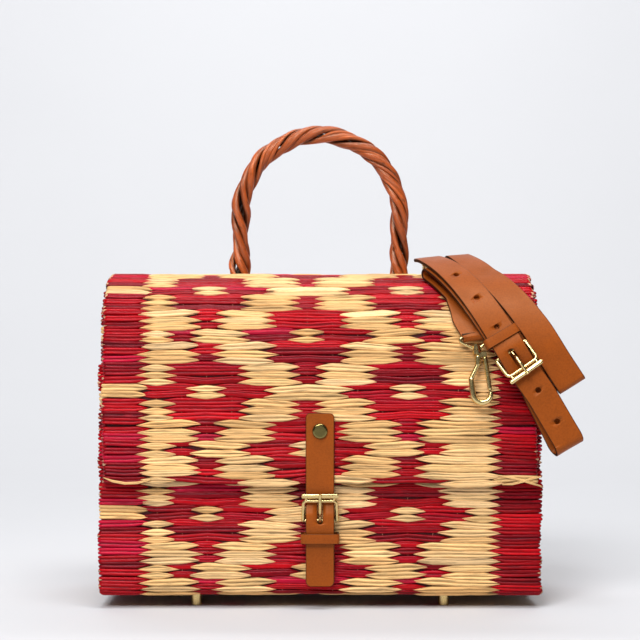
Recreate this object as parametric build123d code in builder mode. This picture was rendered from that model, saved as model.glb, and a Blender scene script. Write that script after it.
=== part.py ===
from build123d import *
from math import cos, hypot, pi, radians, sin
import os

# Frame: origin on the floor at the centre of the basket, X right, Y back, Z up, millimetres.

# Basket and lid
basket_width = 310.0
basket_depth = 124.0
mat_thickness = 5.0
foot_height = 8.5
front_height = 174.0
lid_height = 237.0
corner_radius = 8.0
lid_width = 304.0
lid_gap = 1.5
lid_bottom = 88.5
shoulder_radius = 60.0
hinge_gap = 0.3
panel_gap = 0.5

# Feet
foot_x = 88.0
foot_y = 42.0
foot_diameter = 8.0
post_diameter = 3.0
post_clearance = 0.1
washer_diameter = 9.0
washer_thickness = 0.8

# Handle
handle_half_span = 58.5
handle_leg = 44.0
handle_tail = 8.0
rod_diameter = 5.0
rod_count = 4
rod_spread = 3.9
twist_pitch = 84.0
handle_hole_clearance = 0.6

# Closure
closure_width = 20.0
closure_thickness = 2.4
closure_top = 138.0
closure_bottom = 17.0
closure_rivet_z = 125.6
rivet_cap_diameter = 10.8
rivet_cap_height = 1.9
chape_bottom = 22.7
chape_thickness = 3.0
buckle_bar_z = 62.8
bar_diameter = 3.0
fit_clearance = 0.1
loop_leather = 1.5
loop_gap = 0.2
frame_length = 20.4
frame_thickness = 2.4
frame_side = 2.4
frame_side_gap = 0.35
nose_height = 3.4
nose_slot = 0.9
frame_tilt = 19.0
strap_dip = 3.2
prong_diameter = 2.1
closure_keeper_z = 50.7
keeper_height = 7.0
keeper_width = 27.0
keeper_thickness = 1.4

# Shoulder strap, coiled over the lid's shoulder
strap_width = 21.0
strap_thickness = 2.5
layer_gap = 0.3
strap_slant = 30.4
strap_lean = 0.115
strap_lean_start = -26.0
strap_slide = 6.0
strap_x = 137.6
strap_tip = -60.0
strap_crest = 98.0
strap_height = 12.0
inner_tip = -27.0
inner_crest = 92.0
inner_offset = 23.0
strap_rear = 112.0
strap_bar_along = 10.5
strap_bar_height = 8.9
strap_bar_diameter = 2.6
strap_loop_leather = 1.6
strap_frame_tilt = 22.0
hole_spacing = 25.0
crown_spacing = 21.5
hole_radius = 1.6
hole_reach = 4.2
strap_loop_width = 17.0
strap_keeper_along = 20.5
strap_keeper_thickness = 1.1

# Snap hooks
hook_lean = 7.0
eye_width = 23.0
eye_wire = 1.9
eye_drop = 8.2
boss_diameter = 5.8
swivel_diameter = 2.4
swivel_clearance = 0.08
collar_diameter = 6.2
hook_wire = 3.0
hook_length = 46.3
hook_half_width = 6.6
gate_pin_diameter = 1.2
gate_pin_clearance = 0.06
gate_thickness = 2.2
lug_thickness = 0.9

front_y = -basket_depth / 2
back_y = basket_depth / 2
wall_y = front_y + mat_thickness
floor_z = foot_height + mat_thickness
lid_face_y = front_y - lid_gap - mat_thickness
lid_inner_y = lid_face_y + mat_thickness
shoulder_y = lid_face_y + shoulder_radius
shoulder_z = lid_height - shoulder_radius
inner_shoulder = shoulder_radius - mat_thickness
lid_under_z = lid_height - mat_thickness
hinge_radius = mat_thickness / 2
hinge_y = back_y - hinge_radius
hinge_z = lid_height - hinge_radius

os.makedirs("parts", exist_ok=True)
pieces = []


def keep(piece, label):
    """Label a finished piece and write it."""
    piece.part.label = label
    export_step(piece.part, f"parts/{label}.step")
    pieces.append(piece.part)


# ---------------------------------------------------------------- basket

foot_places = [(x, y) for y in (-foot_y, foot_y) for x in (-foot_x, foot_x)]

with BuildPart() as basket_mat:
    with BuildSketch(Plane.YZ):
        with BuildLine():
            FilletPolyline(
                (front_y, front_height),
                (front_y, foot_height),
                (back_y, foot_height),
                (back_y, lid_under_z - hinge_gap),
                radius=corner_radius,
            )
            FilletPolyline(
                (wall_y, front_height),
                (wall_y, floor_z),
                (-wall_y, floor_z),
                (-wall_y, lid_under_z - hinge_gap),
                radius=corner_radius - mat_thickness,
            )
            Line((front_y, front_height), (wall_y, front_height))
            Line((back_y, lid_under_z - hinge_gap), (-wall_y, lid_under_z - hinge_gap))
        make_face()
    extrude(amount=basket_width / 2, both=True)
    with Locations(*[(x, y, foot_height) for x, y in foot_places]):
        Hole(radius=post_diameter / 2 + post_clearance, depth=mat_thickness * 2)
keep(basket_mat, "basket_mat")

# The side panels stand between the front and back and follow the lid's inner curve.
panel_radius = inner_shoulder - panel_gap
panel_drop = (panel_radius**2 - (wall_y - shoulder_y) ** 2) ** 0.5
for side, sign in (("left", -1), ("right", 1)):
    with BuildPart() as side_panel:
        with BuildSketch(Plane.YZ.offset(sign * (basket_width / 2 - mat_thickness / 2))):
            with BuildLine():
                FilletPolyline(
                    (shoulder_y, shoulder_z + panel_radius),
                    (-wall_y, shoulder_z + panel_radius),
                    (-wall_y, floor_z),
                    (wall_y, floor_z),
                    (wall_y, shoulder_z + panel_drop),
                    radius=[0, corner_radius - mat_thickness, corner_radius - mat_thickness],
                )
                RadiusArc(
                    (wall_y, shoulder_z + panel_drop),
                    (shoulder_y, shoulder_z + panel_radius),
                    panel_radius,
                )
            make_face()
        extrude(amount=mat_thickness / 2, both=True)
    keep(side_panel, f"side_panel_{side}")

foot_names = ["front_left", "front_right", "back_left", "back_right"]
for name, (x, y) in zip(foot_names, foot_places):
    with BuildPart() as foot:
        with BuildSketch(Plane((x, y, 0), x_dir=(1, 0, 0), z_dir=(0, -1, 0))):
            with BuildLine():
                Polyline(
                    (0, 0),
                    (foot_diameter / 2 - 0.8, 0),
                    (foot_diameter / 2 - 0.3, 0.5),
                    (foot_diameter / 2, foot_height),
                    (post_diameter / 2, foot_height),
                    (post_diameter / 2, floor_z + washer_thickness + 0.5),
                    (0, floor_z + washer_thickness + 0.5),
                    close=True,
                )
            make_face()
        revolve(axis=Axis((x, y, 0), (0, 0, 1)))
    keep(foot, f"foot_{name}")

with BuildPart() as foot_washers:
    with BuildSketch(Plane.XY.offset(floor_z)):
        with Locations(*foot_places):
            Circle(washer_diameter / 2)
            Circle(post_diameter / 2 + post_clearance / 2, mode=Mode.SUBTRACT)
    extrude(amount=washer_thickness)
keep(foot_washers, "foot_washers")

# ---------------------------------------------------------------- lid

bundle_radius = rod_spread + rod_diameter / 2
handle_hole = bundle_radius + handle_hole_clearance

with BuildPart() as lid_mat:
    with BuildSketch(Plane.YZ):
        with BuildLine():
            Line((lid_inner_y, lid_bottom), (lid_face_y, lid_bottom))
            Line((lid_face_y, lid_bottom), (lid_face_y, shoulder_z))
            RadiusArc((lid_face_y, shoulder_z), (shoulder_y, lid_height), shoulder_radius)
            Line((shoulder_y, lid_height), (hinge_y, lid_height))
            ThreePointArc(
                (hinge_y, lid_height), (back_y, hinge_z), (hinge_y, lid_under_z)
            )
            Line((hinge_y, lid_under_z), (shoulder_y, lid_under_z))
            RadiusArc((lid_inner_y, shoulder_z), (shoulder_y, lid_under_z), inner_shoulder)
            Line((lid_inner_y, shoulder_z), (lid_inner_y, lid_bottom))
        make_face()
    extrude(amount=lid_width / 2, both=True)
    with Locations((-handle_half_span, 0, lid_height), (handle_half_span, 0, lid_height)):
        Hole(radius=handle_hole, depth=mat_thickness * 2)
    with Locations(Plane((0, lid_face_y, closure_rivet_z), z_dir=(0, -1, 0))):
        Hole(radius=post_diameter / 2 + post_clearance, depth=mat_thickness * 2)
keep(lid_mat, "lid_mat")

# Handle: rods twisted round a line that goes up, over in a half circle and down.
leg_bottom = lid_under_z - handle_tail
leg_top = lid_height + handle_leg
leg_run = leg_top - leg_bottom
arch_run = pi * handle_half_span
handle_run = 2 * leg_run + arch_run
steps_per_turn = 9
handle_steps = round(handle_run / twist_pitch * steps_per_turn)


def rod_point(run, phase):
    """Centre of a rod after a run along the handle, turned round its middle line."""
    turn = 2 * pi * run / twist_pitch + phase
    if run < leg_run:
        middle, out = Vector(-handle_half_span, 0, leg_bottom + run), Vector(-1, 0, 0)
    elif run > leg_run + arch_run:
        middle = Vector(handle_half_span, 0, leg_top - (run - leg_run - arch_run))
        out = Vector(1, 0, 0)
    else:
        bend = (run - leg_run) / handle_half_span
        out = Vector(-cos(bend), 0, sin(bend))
        middle = Vector(0, 0, leg_top) + out * handle_half_span
    return middle + out * (rod_spread * cos(turn)) + Vector(0, 1, 0) * (rod_spread * sin(turn))


for number in range(rod_count):
    rod_phase = 2 * pi * number / rod_count
    rod_points = [
        rod_point(handle_run * step / handle_steps, rod_phase) for step in range(handle_steps + 1)
    ]
    with BuildPart() as handle_rod:
        with BuildLine() as rod_line:
            FilletPolyline(*rod_points, radius=12.0)
        with BuildSketch(Plane(rod_line.line @ 0, z_dir=rod_line.line % 0)):
            Circle(rod_diameter / 2)
        sweep(path=rod_line.line)
    keep(handle_rod, f"handle_rod_{number + 1}")

# ---------------------------------------------------------------- front closure

loop_radius = bar_diameter / 2 + fit_clearance
loop_outer = loop_radius + loop_leather
bar_y = front_y - loop_gap - loop_outer
strap_over_loop = bar_y - loop_outer - layer_gap
strap_end_y = front_y - chape_thickness - layer_gap

# The strap lies on the lid, dips under the frame, goes over the hinge loop and hangs down.
strap_inside = [
    (lid_face_y, closure_top),
    (lid_face_y, lid_bottom - 3),
    (lid_face_y + strap_dip, buckle_bar_z + 13),
    (strap_over_loop, buckle_bar_z + 4),
    (strap_over_loop, buckle_bar_z - 4),
    (strap_end_y - 1.2, closure_keeper_z - 6),
    (strap_end_y, closure_bottom + 8),
    (strap_end_y, closure_bottom),
]
strap_outside = [(y - closure_thickness, z) for y, z in strap_inside]

with BuildPart() as closure_strap:
    with BuildSketch(Plane.YZ):
        with BuildLine():
            FilletPolyline(*strap_inside, radius=7.0)
            FilletPolyline(*strap_outside, radius=7.0)
            Line(strap_inside[0], strap_outside[0])
            Line(strap_inside[-1], strap_outside[-1])
        make_face()
    extrude(amount=closure_width / 2, both=True)
    fillet(closure_strap.edges().filter_by(Axis.Y).group_by(Axis.Z)[0], 3.0)
    fillet(closure_strap.edges().filter_by(Axis.Y).group_by(Axis.Z)[-1], 3.0)
    with Locations(Plane((0, lid_face_y, closure_rivet_z), z_dir=(0, -1, 0))):
        Hole(radius=post_diameter / 2 + post_clearance, depth=mat_thickness * 2)
    with Locations(Plane((0, bar_y, buckle_bar_z + 5.5), z_dir=(0, -1, 0))):
        with BuildSketch(Plane((0, 0, buckle_bar_z + 5.5), x_dir=(0, 0, 1), z_dir=(0, -1, 0))):
            SlotOverall(13.0, prong_diameter + 1.3)
        extrude(amount=100, both=True, mode=Mode.SUBTRACT)
keep(closure_strap, "closure_strap")

rivet_face_y = lid_face_y - closure_thickness
washer_y = lid_inner_y + washer_thickness
with BuildPart() as closure_rivet:
    with BuildSketch(Plane((0, rivet_face_y, closure_rivet_z), z_dir=(0, -1, 0))):
        Circle(rivet_cap_diameter / 2)
    extrude(amount=rivet_cap_height)
    fillet(closure_rivet.edges().group_by(Axis.Y)[0], rivet_cap_height - 0.4)
    with BuildSketch(Plane((0, rivet_face_y, closure_rivet_z), z_dir=(0, 1, 0))):
        Circle(post_diameter / 2)
    extrude(amount=washer_y - rivet_face_y)
keep(closure_rivet, "closure_rivet")

with BuildPart() as closure_rivet_washer:
    with BuildSketch(Plane((0, lid_inner_y, closure_rivet_z), z_dir=(0, 1, 0))):
        Circle(washer_diameter / 2)
        Circle(post_diameter / 2 + post_clearance / 2, mode=Mode.SUBTRACT)
    extrude(amount=washer_thickness)
keep(closure_rivet_washer, "closure_rivet_washer")

with BuildPart() as closure_chape:
    with BuildSketch(Plane.YZ):
        with Locations((front_y - chape_thickness / 2, (chape_bottom + buckle_bar_z) / 2)):
            Rectangle(chape_thickness, buckle_bar_z - chape_bottom)
        with Locations((bar_y, buckle_bar_z)):
            Circle(loop_outer)
            Circle(loop_radius, mode=Mode.SUBTRACT)
    extrude(amount=closure_width / 2, both=True)
    with Locations((0, bar_y, buckle_bar_z + loop_outer - 3.5)):
        Box(prong_diameter + 1.7, 2 * loop_outer + 2, 2 * loop_outer, mode=Mode.SUBTRACT)
keep(closure_chape, "closure_chape")

# Two small rivets hold the tab to the mat, below the keeper.
with BuildPart() as chape_rivets:
    with BuildSketch(Plane((0, front_y - chape_thickness, 0), x_dir=(1, 0, 0), z_dir=(0, -1, 0))):
        with Locations((-6, closure_keeper_z - 16), (6, closure_keeper_z - 16)):
            Circle(1.5)
    extrude(amount=0.25)
keep(chape_rivets, "chape_rivets")

keeper_inner_y = strap_over_loop - closure_thickness - layer_gap
with BuildPart() as closure_keeper:
    with BuildSketch(Plane.XY.offset(closure_keeper_z - keeper_height / 2)):
        with BuildLine():
            FilletPolyline(
                (-keeper_width / 2, front_y),
                (-keeper_width / 2, keeper_inner_y - keeper_thickness),
                (keeper_width / 2, keeper_inner_y - keeper_thickness),
                (keeper_width / 2, front_y),
                radius=keeper_thickness + 0.6,
            )
            FilletPolyline(
                (-keeper_width / 2 + keeper_thickness, front_y),
                (-keeper_width / 2 + keeper_thickness, keeper_inner_y),
                (keeper_width / 2 - keeper_thickness, keeper_inner_y),
                (keeper_width / 2 - keeper_thickness, front_y),
                radius=0.6,
            )
            Line((-keeper_width / 2, front_y), (-keeper_width / 2 + keeper_thickness, front_y))
            Line((keeper_width / 2, front_y), (keeper_width / 2 - keeper_thickness, front_y))
        make_face()
    extrude(amount=keeper_height)
keep(closure_keeper, "closure_keeper")


def buckle_frame(plane, width, bar):
    """A cast frame lying in its plane's XY, its hinge bar along X through the plane's origin."""
    inner = width / 2 + frame_side_gap
    outer = inner + frame_side
    loop_length = frame_length - nose_height - nose_slot
    boss = bar / 2 + 0.3
    across = Plane(plane.origin, x_dir=plane.z_dir, z_dir=plane.x_dir)
    with BuildPart() as frame:
        with BuildSketch(plane.offset(-frame_thickness / 2)):
            with BuildLine():
                FilletPolyline(
                    (-outer, 0), (-outer, loop_length), (outer, loop_length), (outer, 0), radius=3.4
                )
                FilletPolyline(
                    (-inner, 0),
                    (-inner, loop_length - frame_side),
                    (inner, loop_length - frame_side),
                    (inner, 0),
                    radius=1.2,
                )
                Line((-outer, 0), (-inner, 0))
                Line((inner, 0), (outer, 0))
            make_face()
            with Locations((-outer + 2.4, loop_length), (outer - 2.4, loop_length)):
                Rectangle(2.0, 2 * nose_slot + 1.0)
            with Locations((0, frame_length - nose_height / 2)):
                Rectangle(2 * outer, nose_height)
        extrude(amount=frame_thickness)
        with BuildSketch(across.offset(-outer)):
            Circle(bar / 2)
        extrude(amount=2 * outer)
        for start in (-outer, inner):
            with BuildSketch(across.offset(start)):
                Circle(boss)
            extrude(amount=frame_side)
    return frame


# A prong comes up through its strap and rests on the nose bar.
prong_rest = frame_thickness / 2 + prong_diameter / 2 + layer_gap


def buckle_prong(plane, bar, rise):
    """A wire prong from a loop round the hinge bar, arched by a rise over to the nose bar."""
    across = Plane(plane.origin, x_dir=plane.y_dir, z_dir=plane.x_dir)
    bore = bar / 2 + fit_clearance
    start = bore + prong_diameter / 2
    route = [
        (0.5, start),
        (5.0, start + 0.5),
        (8.0, prong_rest + rise),
        (13.0, prong_rest + rise),
        (frame_length - nose_height / 2, prong_rest),
        (frame_length + 1.0, prong_rest - 0.2),
    ]
    with BuildPart() as prong:
        with BuildSketch(across.offset(-prong_diameter / 2)):
            Circle(bore + 1.1)
        extrude(amount=prong_diameter)
        with BuildLine() as line:
            FilletPolyline(*[plane.from_local_coords((0, y, z)) for y, z in route], radius=3.0)
        with BuildSketch(Plane(line.line @ 0, z_dir=line.line % 0)):
            Circle(prong_diameter / 2)
        sweep(path=line.line)
        with BuildSketch(across.offset(-prong_diameter)):
            Circle(bore)
        extrude(amount=2 * prong_diameter, mode=Mode.SUBTRACT)
    return prong


tilt = radians(frame_tilt)
closure_plane = Plane(
    (0, bar_y, buckle_bar_z), x_dir=(1, 0, 0), z_dir=(0, -cos(tilt), -sin(tilt))
)
closure_buckle_frame = buckle_frame(closure_plane, closure_width, bar_diameter)
keep(closure_buckle_frame, "closure_buckle_frame")

closure_buckle_prong = buckle_prong(closure_plane, bar_diameter, 2.0)
keep(closure_buckle_prong, "closure_buckle_prong")

# ---------------------------------------------------------------- shoulder strap

slant = radians(strap_slant)
shoulder_arc = shoulder_radius * pi / 2
layers = [layer_gap + strap_thickness / 2 + n * (strap_thickness + layer_gap) for n in range(4)]


def on_lid(across, along, height):
    """Point at a height over the lid, from places across and along the slanted strap."""
    along -= strap_slide
    up = along * cos(slant) + across * sin(slant)
    lean = strap_lean * max(0.0, up - strap_lean_start)
    x = strap_x - along * sin(slant) + across * cos(slant) - lean
    if up < 0:
        return Vector(x, lid_face_y - height, shoulder_z + up)
    if up > shoulder_arc:
        return Vector(x, shoulder_y + up - shoulder_arc, lid_height + height)
    bend = up / shoulder_radius
    reach = shoulder_radius + height
    return Vector(x, shoulder_y - reach * cos(bend), shoulder_z + reach * sin(bend))


def run_of_strap(start, end, spacing=7.0):
    """Evenly spaced places from one (across, along, height) to another, the last left out."""
    count = max(1, round(abs(end[1] - start[1]) / spacing))
    return [
        tuple(a + (b - a) * step / count for a, b in zip(start, end)) for step in range(count)
    ]


def fold_of_strap(start, end, direction):
    """A half turn from one layer to another at the strap's upper (1) or lower (-1) end."""
    radius = (end[2] - start[2]) / 2
    turns = 6
    return [
        (
            start[0] + (end[0] - start[0]) * step / turns,
            start[1] + direction * abs(radius) * sin(pi * step / turns),
            start[2] + radius - radius * cos(pi * step / turns),
        )
        for step in range(turns)
    ]


def round_face(centre, radius, direction):
    """A round face about a centre, square to a direction."""
    with BuildSketch(Plane(centre, z_dir=direction)) as face:
        Circle(radius)
    return face.sketch


def strap_band(places, loops, holes):
    """A leather band through the places, one flat section at each, joined by straight faces.

    Each loop (centre, side, bar, width) closes the leather round a bar. Each hole is a cut face.
    """
    centres = [on_lid(*place) for place in places]
    last = len(places) - 1
    with BuildPart() as band:
        for index, (across, along, height) in enumerate(places):
            ahead = centres[min(index + 1, last)] - centres[max(index - 1, 0)]
            side = on_lid(across + 1, along, height) - on_lid(across - 1, along, height)
            with BuildSketch(Plane(centres[index], x_dir=side, z_dir=ahead)):
                Rectangle(strap_width, strap_thickness)
        loft(ruled=True)
        for centre, side, bar, width in loops:
            edge = centre - side * (width / 2)
            bore = bar / 2 + fit_clearance
            extrude(round_face(edge, bore + strap_loop_leather, side), amount=width)
            edge -= side * width / 2
            extrude(round_face(edge, bore, side), amount=width * 2, mode=Mode.SUBTRACT)
        for hole in holes:
            extrude(hole, amount=hole_reach, both=True, mode=Mode.SUBTRACT)
    return band


def strap_axes(place):
    """Square unit directions at a place: across the strap, up along it and out from the lid."""
    across, along, height = place
    up = (on_lid(across, along + 1, height) - on_lid(across, along - 1, height)).normalized()
    out = (on_lid(across, along, height + 1) - on_lid(across, along, height)).normalized()
    return up.cross(out).normalized(), up, out


# Long part: from its hook over the lid's top, down, back up, down again and up to the buckle.
rear_bend = (inner_offset, 44, layers[0])
rear_place = (inner_offset + 16, strap_rear, layers[0])
inner_low = (inner_offset, inner_tip, layers[0])
inner_front_low = (inner_offset, inner_tip, layers[2])
inner_front_high = (inner_offset - 0.5, inner_crest, strap_height + 0.7)
return_high = (inner_offset - 0.5, inner_crest, layers[1])
return_middle = (10.4, 38, layers[1])
return_under_buckle = (8.2, 16, layers[1])
return_low = (-1.0, -24, layers[1])
return_tip = (-3.0, strap_tip, layers[0])
outer_tip = (0, strap_tip, strap_height)
over_bar = (0, strap_bar_along, strap_bar_height + strap_bar_diameter / 2 + 3.6)
long_places = [
    *run_of_strap(rear_place, rear_bend),
    *run_of_strap(rear_bend, inner_low),
    *fold_of_strap(inner_low, inner_front_low, -1),
    *run_of_strap(inner_front_low, (inner_offset + 1.3, strap_bar_along, layers[2])),
    *run_of_strap((inner_offset + 1.3, strap_bar_along, layers[2]), (inner_offset, 66, layers[2])),
    *run_of_strap((inner_offset, 66, layers[2]), inner_front_high),
    *fold_of_strap(inner_front_high, return_high, 1),
    *run_of_strap(return_high, return_middle),
    *run_of_strap(return_middle, return_under_buckle),
    *run_of_strap(return_under_buckle, return_low),
    *run_of_strap(return_low, return_tip),
    *fold_of_strap(return_tip, outer_tip, -1),
    *run_of_strap(outer_tip, (0, strap_bar_along - 30, strap_height)),
    *run_of_strap((0, strap_bar_along - 30, strap_height), (0, strap_bar_along - 14, 10.6)),
    *run_of_strap((0, strap_bar_along - 14, 10.6), over_bar),
    *run_of_strap(over_bar, (0, strap_bar_along + 14, strap_height)),
    *run_of_strap((0, strap_bar_along + 14, strap_height), (0, strap_crest, strap_height)),
    (0, strap_crest, strap_height),
    (0, strap_crest + 5.0, strap_height - 0.8),
]
rear_eye_height = eye_wire / 2 + fit_clearance + strap_loop_leather + layer_gap + 0.5
rear_run = (on_lid(*rear_place) - on_lid(rear_bend[0] + 8, 78, layers[0])).normalized()
rear_side = rear_run.cross(Vector(0, 0, 1))
rear_eye = on_lid(*rear_place) + rear_run * 1.9 + Vector(0, 0, rear_eye_height - layers[0])
prong_hole_along = strap_bar_along - 5.5
long_holes = []
for step in (-2, -1, 0, 1, 2, 3):
    hole_along = prong_hole_along + step * (crown_spacing if step > 0 else hole_spacing)
    hole_place = (0, hole_along, strap_height)
    _, hole_up, hole_out = strap_axes(hole_place)
    with BuildSketch(Plane(on_lid(*hole_place), x_dir=hole_up, z_dir=hole_out)) as long_hole:
        if step == 0:
            SlotOverall(15.0, prong_diameter + 1.3)
        else:
            Circle(hole_radius)
    long_holes.append(long_hole.sketch)
rear_loop = (rear_eye, rear_side, eye_wire, strap_loop_width)
strap_long = strap_band(long_places, [rear_loop], long_holes)
keep(strap_long, "strap_long")

# Short part: from the buckle up under the long part, over the crest and down to its hook.
short_offset = -1.3
short_height = 9.1
short_crest = strap_crest - 10.0
hook_place = (-15.0, 30.5, 4.7)
short_places = [
    *run_of_strap(
        (short_offset, strap_bar_along + 2.0, strap_bar_height),
        (short_offset, strap_bar_along + 14, short_height),
    ),
    *run_of_strap(
        (short_offset, strap_bar_along + 14, short_height),
        (short_offset, short_crest, short_height),
    ),
    *fold_of_strap(
        (short_offset, short_crest, short_height), (short_offset, short_crest, layers[0]), 1
    ),
    *run_of_strap((short_offset, short_crest, layers[0]), (-2.9, 62, layers[0])),
    *run_of_strap((-2.9, 62, layers[0]), (-8.4, 49, layers[0])),
    (-8.4, 49, layers[0]),
    (-11.9, 42, 2.6),
    (-14.6, 32.2, 4.5),
]
bar_place = (0, strap_bar_along, strap_bar_height)
strap_bar = on_lid(*bar_place)
strap_side, strap_up, strap_out = strap_axes((0, strap_bar_along - 6, strap_height))
with BuildSketch(Plane(strap_bar, x_dir=strap_side, z_dir=strap_out)) as prong_slot:
    Rectangle(prong_diameter + 1.7, 7.6)
eye_centre = on_lid(*hook_place)
lean = radians(hook_lean)
eye_side = Vector(cos(lean), 0, sin(lean))
short_loops = [
    (strap_bar, strap_side, strap_bar_diameter, strap_loop_width),
    (eye_centre, eye_side, eye_wire, strap_loop_width),
]
strap_short = strap_band(short_places, short_loops, [prong_slot.sketch])
keep(strap_short, "strap_short")

# Keeper: slides on both parts just above the buckle.
keeper_left = short_offset - strap_width / 2 - 0.5
keeper_right = strap_width / 2 + 0.6
keeper_low = short_height - strap_thickness / 2 - 0.75
keeper_high = strap_height + strap_thickness / 2 + 1.15
keeper_middle = ((keeper_left + keeper_right) / 2, strap_keeper_along, (keeper_low + keeper_high) / 2)
keeper_side, keeper_up, _ = strap_axes(keeper_middle)
inner_size = (keeper_right - keeper_left, keeper_high - keeper_low)
with BuildPart() as strap_keeper:
    with BuildSketch(Plane(on_lid(*keeper_middle), x_dir=keeper_side, z_dir=keeper_up)):
        RectangleRounded(*[size + 2 * strap_keeper_thickness for size in inner_size], 1.6)
        Rectangle(*inner_size, mode=Mode.SUBTRACT)
    extrude(amount=keeper_height / 2, both=True)
keep(strap_keeper, "strap_keeper")

strap_tilt = radians(strap_frame_tilt)
strap_plane = Plane(
    strap_bar, x_dir=-strap_side, z_dir=strap_out * cos(strap_tilt) + strap_up * sin(strap_tilt)
)
strap_buckle_frame = buckle_frame(strap_plane, strap_width, strap_bar_diameter)
keep(strap_buckle_frame, "strap_buckle_frame")
strap_buckle_prong = buckle_prong(strap_plane, strap_bar_diameter, 2.2)
keep(strap_buckle_prong, "strap_buckle_prong")

# ---------------------------------------------------------------- snap hooks

boss_height = 2.4
boss_low = -eye_drop - boss_height / 2
post_gap = 0.3
head_height = 1.2
head_diameter = 4.0
collar_height = 2.8
gate_pivot = (4.8, -13.2)
gate_end = (5.4, -39.0)
tip_height = -39.4


def disc(plane, place, radius, direction):
    """A round face at a place in a plane."""
    return round_face(plane.from_local_coords(place), radius, direction)


def snap_hook(plane, name):
    """Eye, swivelling hook and sprung gate: X across, Y from hook to eye, origin on the eye's bar."""
    half = (eye_width - eye_wire) / 2
    up = plane.y_dir
    with BuildPart() as eye:
        with BuildLine(plane) as ring:
            FilletPolyline(
                (-half, 0),
                (half, 0),
                (half, -2.6),
                (2.5, -eye_drop),
                (-2.5, -eye_drop),
                (-half, -2.6),
                radius=1.5,
                close=True,
            )
        with BuildSketch(Plane(ring.line @ 0, z_dir=ring.line % 0)):
            Circle(eye_wire / 2)
        sweep(path=ring.line)
        extrude(disc(plane, (0, boss_low, 0), boss_diameter / 2, up), amount=boss_height)
        bore = disc(plane, (0, boss_low - 1, 0), swivel_diameter / 2 + swivel_clearance, up)
        extrude(bore, amount=boss_height + 2, mode=Mode.SUBTRACT)
    keep(eye, f"{name}_eye")

    with BuildPart() as body:
        collar_low = boss_low - post_gap - collar_height
        post_low = boss_low - post_gap
        head_low = boss_low + boss_height + post_gap
        extrude(disc(plane, (0, collar_low, 0), collar_diameter / 2, up), amount=collar_height)
        extrude(disc(plane, (0, post_low, 0), swivel_diameter / 2, up), amount=head_low - post_low)
        extrude(disc(plane, (0, head_low, 0), head_diameter / 2, up), amount=head_height)
        with BuildLine(plane) as bend:
            FilletPolyline(
                (0.3, collar_low + 0.5),
                (-0.8, collar_low - 7.5),
                (-hook_half_width, -29),
                (-hook_half_width, -hook_length),
                (hook_half_width - 0.6, -hook_length),
                (hook_half_width - 1.0, tip_height),
                radius=[7, 5, 6.2, 6.0],
            )
        with BuildSketch(Plane(bend.line @ 0, z_dir=bend.line % 0)):
            Circle(hook_wire / 2)
        sweep(path=bend.line)
        lug_start = gate_thickness / 2 + 0.15
        for low in (lug_start, -lug_start - lug_thickness):
            with BuildSketch(plane.offset(low)):
                with Locations((gate_pivot[0] / 2 + 0.6, gate_pivot[1])):
                    Rectangle(gate_pivot[0] + 1.4, 3.4)
            extrude(amount=lug_thickness)
        pin_low = -lug_start - lug_thickness
        pin = disc(plane, (*gate_pivot, pin_low), gate_pin_diameter / 2, plane.z_dir)
        extrude(pin, amount=-2 * pin_low)
    keep(body, f"{name}_hook")

    with BuildPart() as gate:
        with BuildSketch(plane.offset(-gate_thickness / 2)):
            with BuildLine():
                Polyline(
                    (gate_pivot[0] - 1.0, gate_pivot[1]),
                    (gate_pivot[0] + 1.0, gate_pivot[1]),
                    (gate_end[0] + 1.0, gate_end[1]),
                    (gate_end[0] - 1.0, gate_end[1]),
                    close=True,
                )
            make_face()
            with Locations(gate_pivot):
                Circle(1.5)
                Circle(gate_pin_diameter / 2 + gate_pin_clearance, mode=Mode.SUBTRACT)
        extrude(amount=gate_thickness)
    keep(gate, f"{name}_gate")


# The front hook hangs from the short part, a little clear of the lid.
front_dip = radians(7.0)
hook_down = Vector(sin(lean) * cos(front_dip), -sin(front_dip), -cos(lean) * cos(front_dip))
front_plane = Plane(eye_centre, x_dir=eye_side, z_dir=eye_side.cross(-hook_down))
snap_hook(front_plane, "front_snap")

# The rear hook lies on the lid's top behind the coil.
rear_rise = radians(3.0)
rear_along = Vector(-rear_side.Y, rear_side.X, 0).normalized()
rear_ahead = rear_along * cos(rear_rise) + Vector(0, 0, sin(rear_rise))
rear_plane = Plane(rear_eye, x_dir=-rear_side, z_dir=(-rear_side).cross(-rear_ahead))
snap_hook(rear_plane, "rear_snap")
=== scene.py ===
import bpy
import numpy as np
from math import cos, pi, radians, sin, sqrt
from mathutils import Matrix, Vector


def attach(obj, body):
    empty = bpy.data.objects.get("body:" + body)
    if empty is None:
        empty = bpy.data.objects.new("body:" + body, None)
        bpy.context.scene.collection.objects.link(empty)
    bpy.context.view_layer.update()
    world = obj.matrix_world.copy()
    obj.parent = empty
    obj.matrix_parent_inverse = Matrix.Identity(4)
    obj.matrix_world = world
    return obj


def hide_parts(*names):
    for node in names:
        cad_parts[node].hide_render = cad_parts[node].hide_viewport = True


# Lengths are in millimetres, X right, Y back, Z up, as in the CAD frame. Meshes are written in metres.
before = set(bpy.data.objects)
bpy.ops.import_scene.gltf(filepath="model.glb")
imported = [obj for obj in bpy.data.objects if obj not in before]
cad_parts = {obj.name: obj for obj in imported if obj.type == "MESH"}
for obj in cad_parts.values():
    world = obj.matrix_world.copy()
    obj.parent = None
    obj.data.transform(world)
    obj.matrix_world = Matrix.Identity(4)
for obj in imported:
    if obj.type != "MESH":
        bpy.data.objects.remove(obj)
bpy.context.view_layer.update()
rng = np.random.default_rng(11)
MM = 0.001

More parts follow.
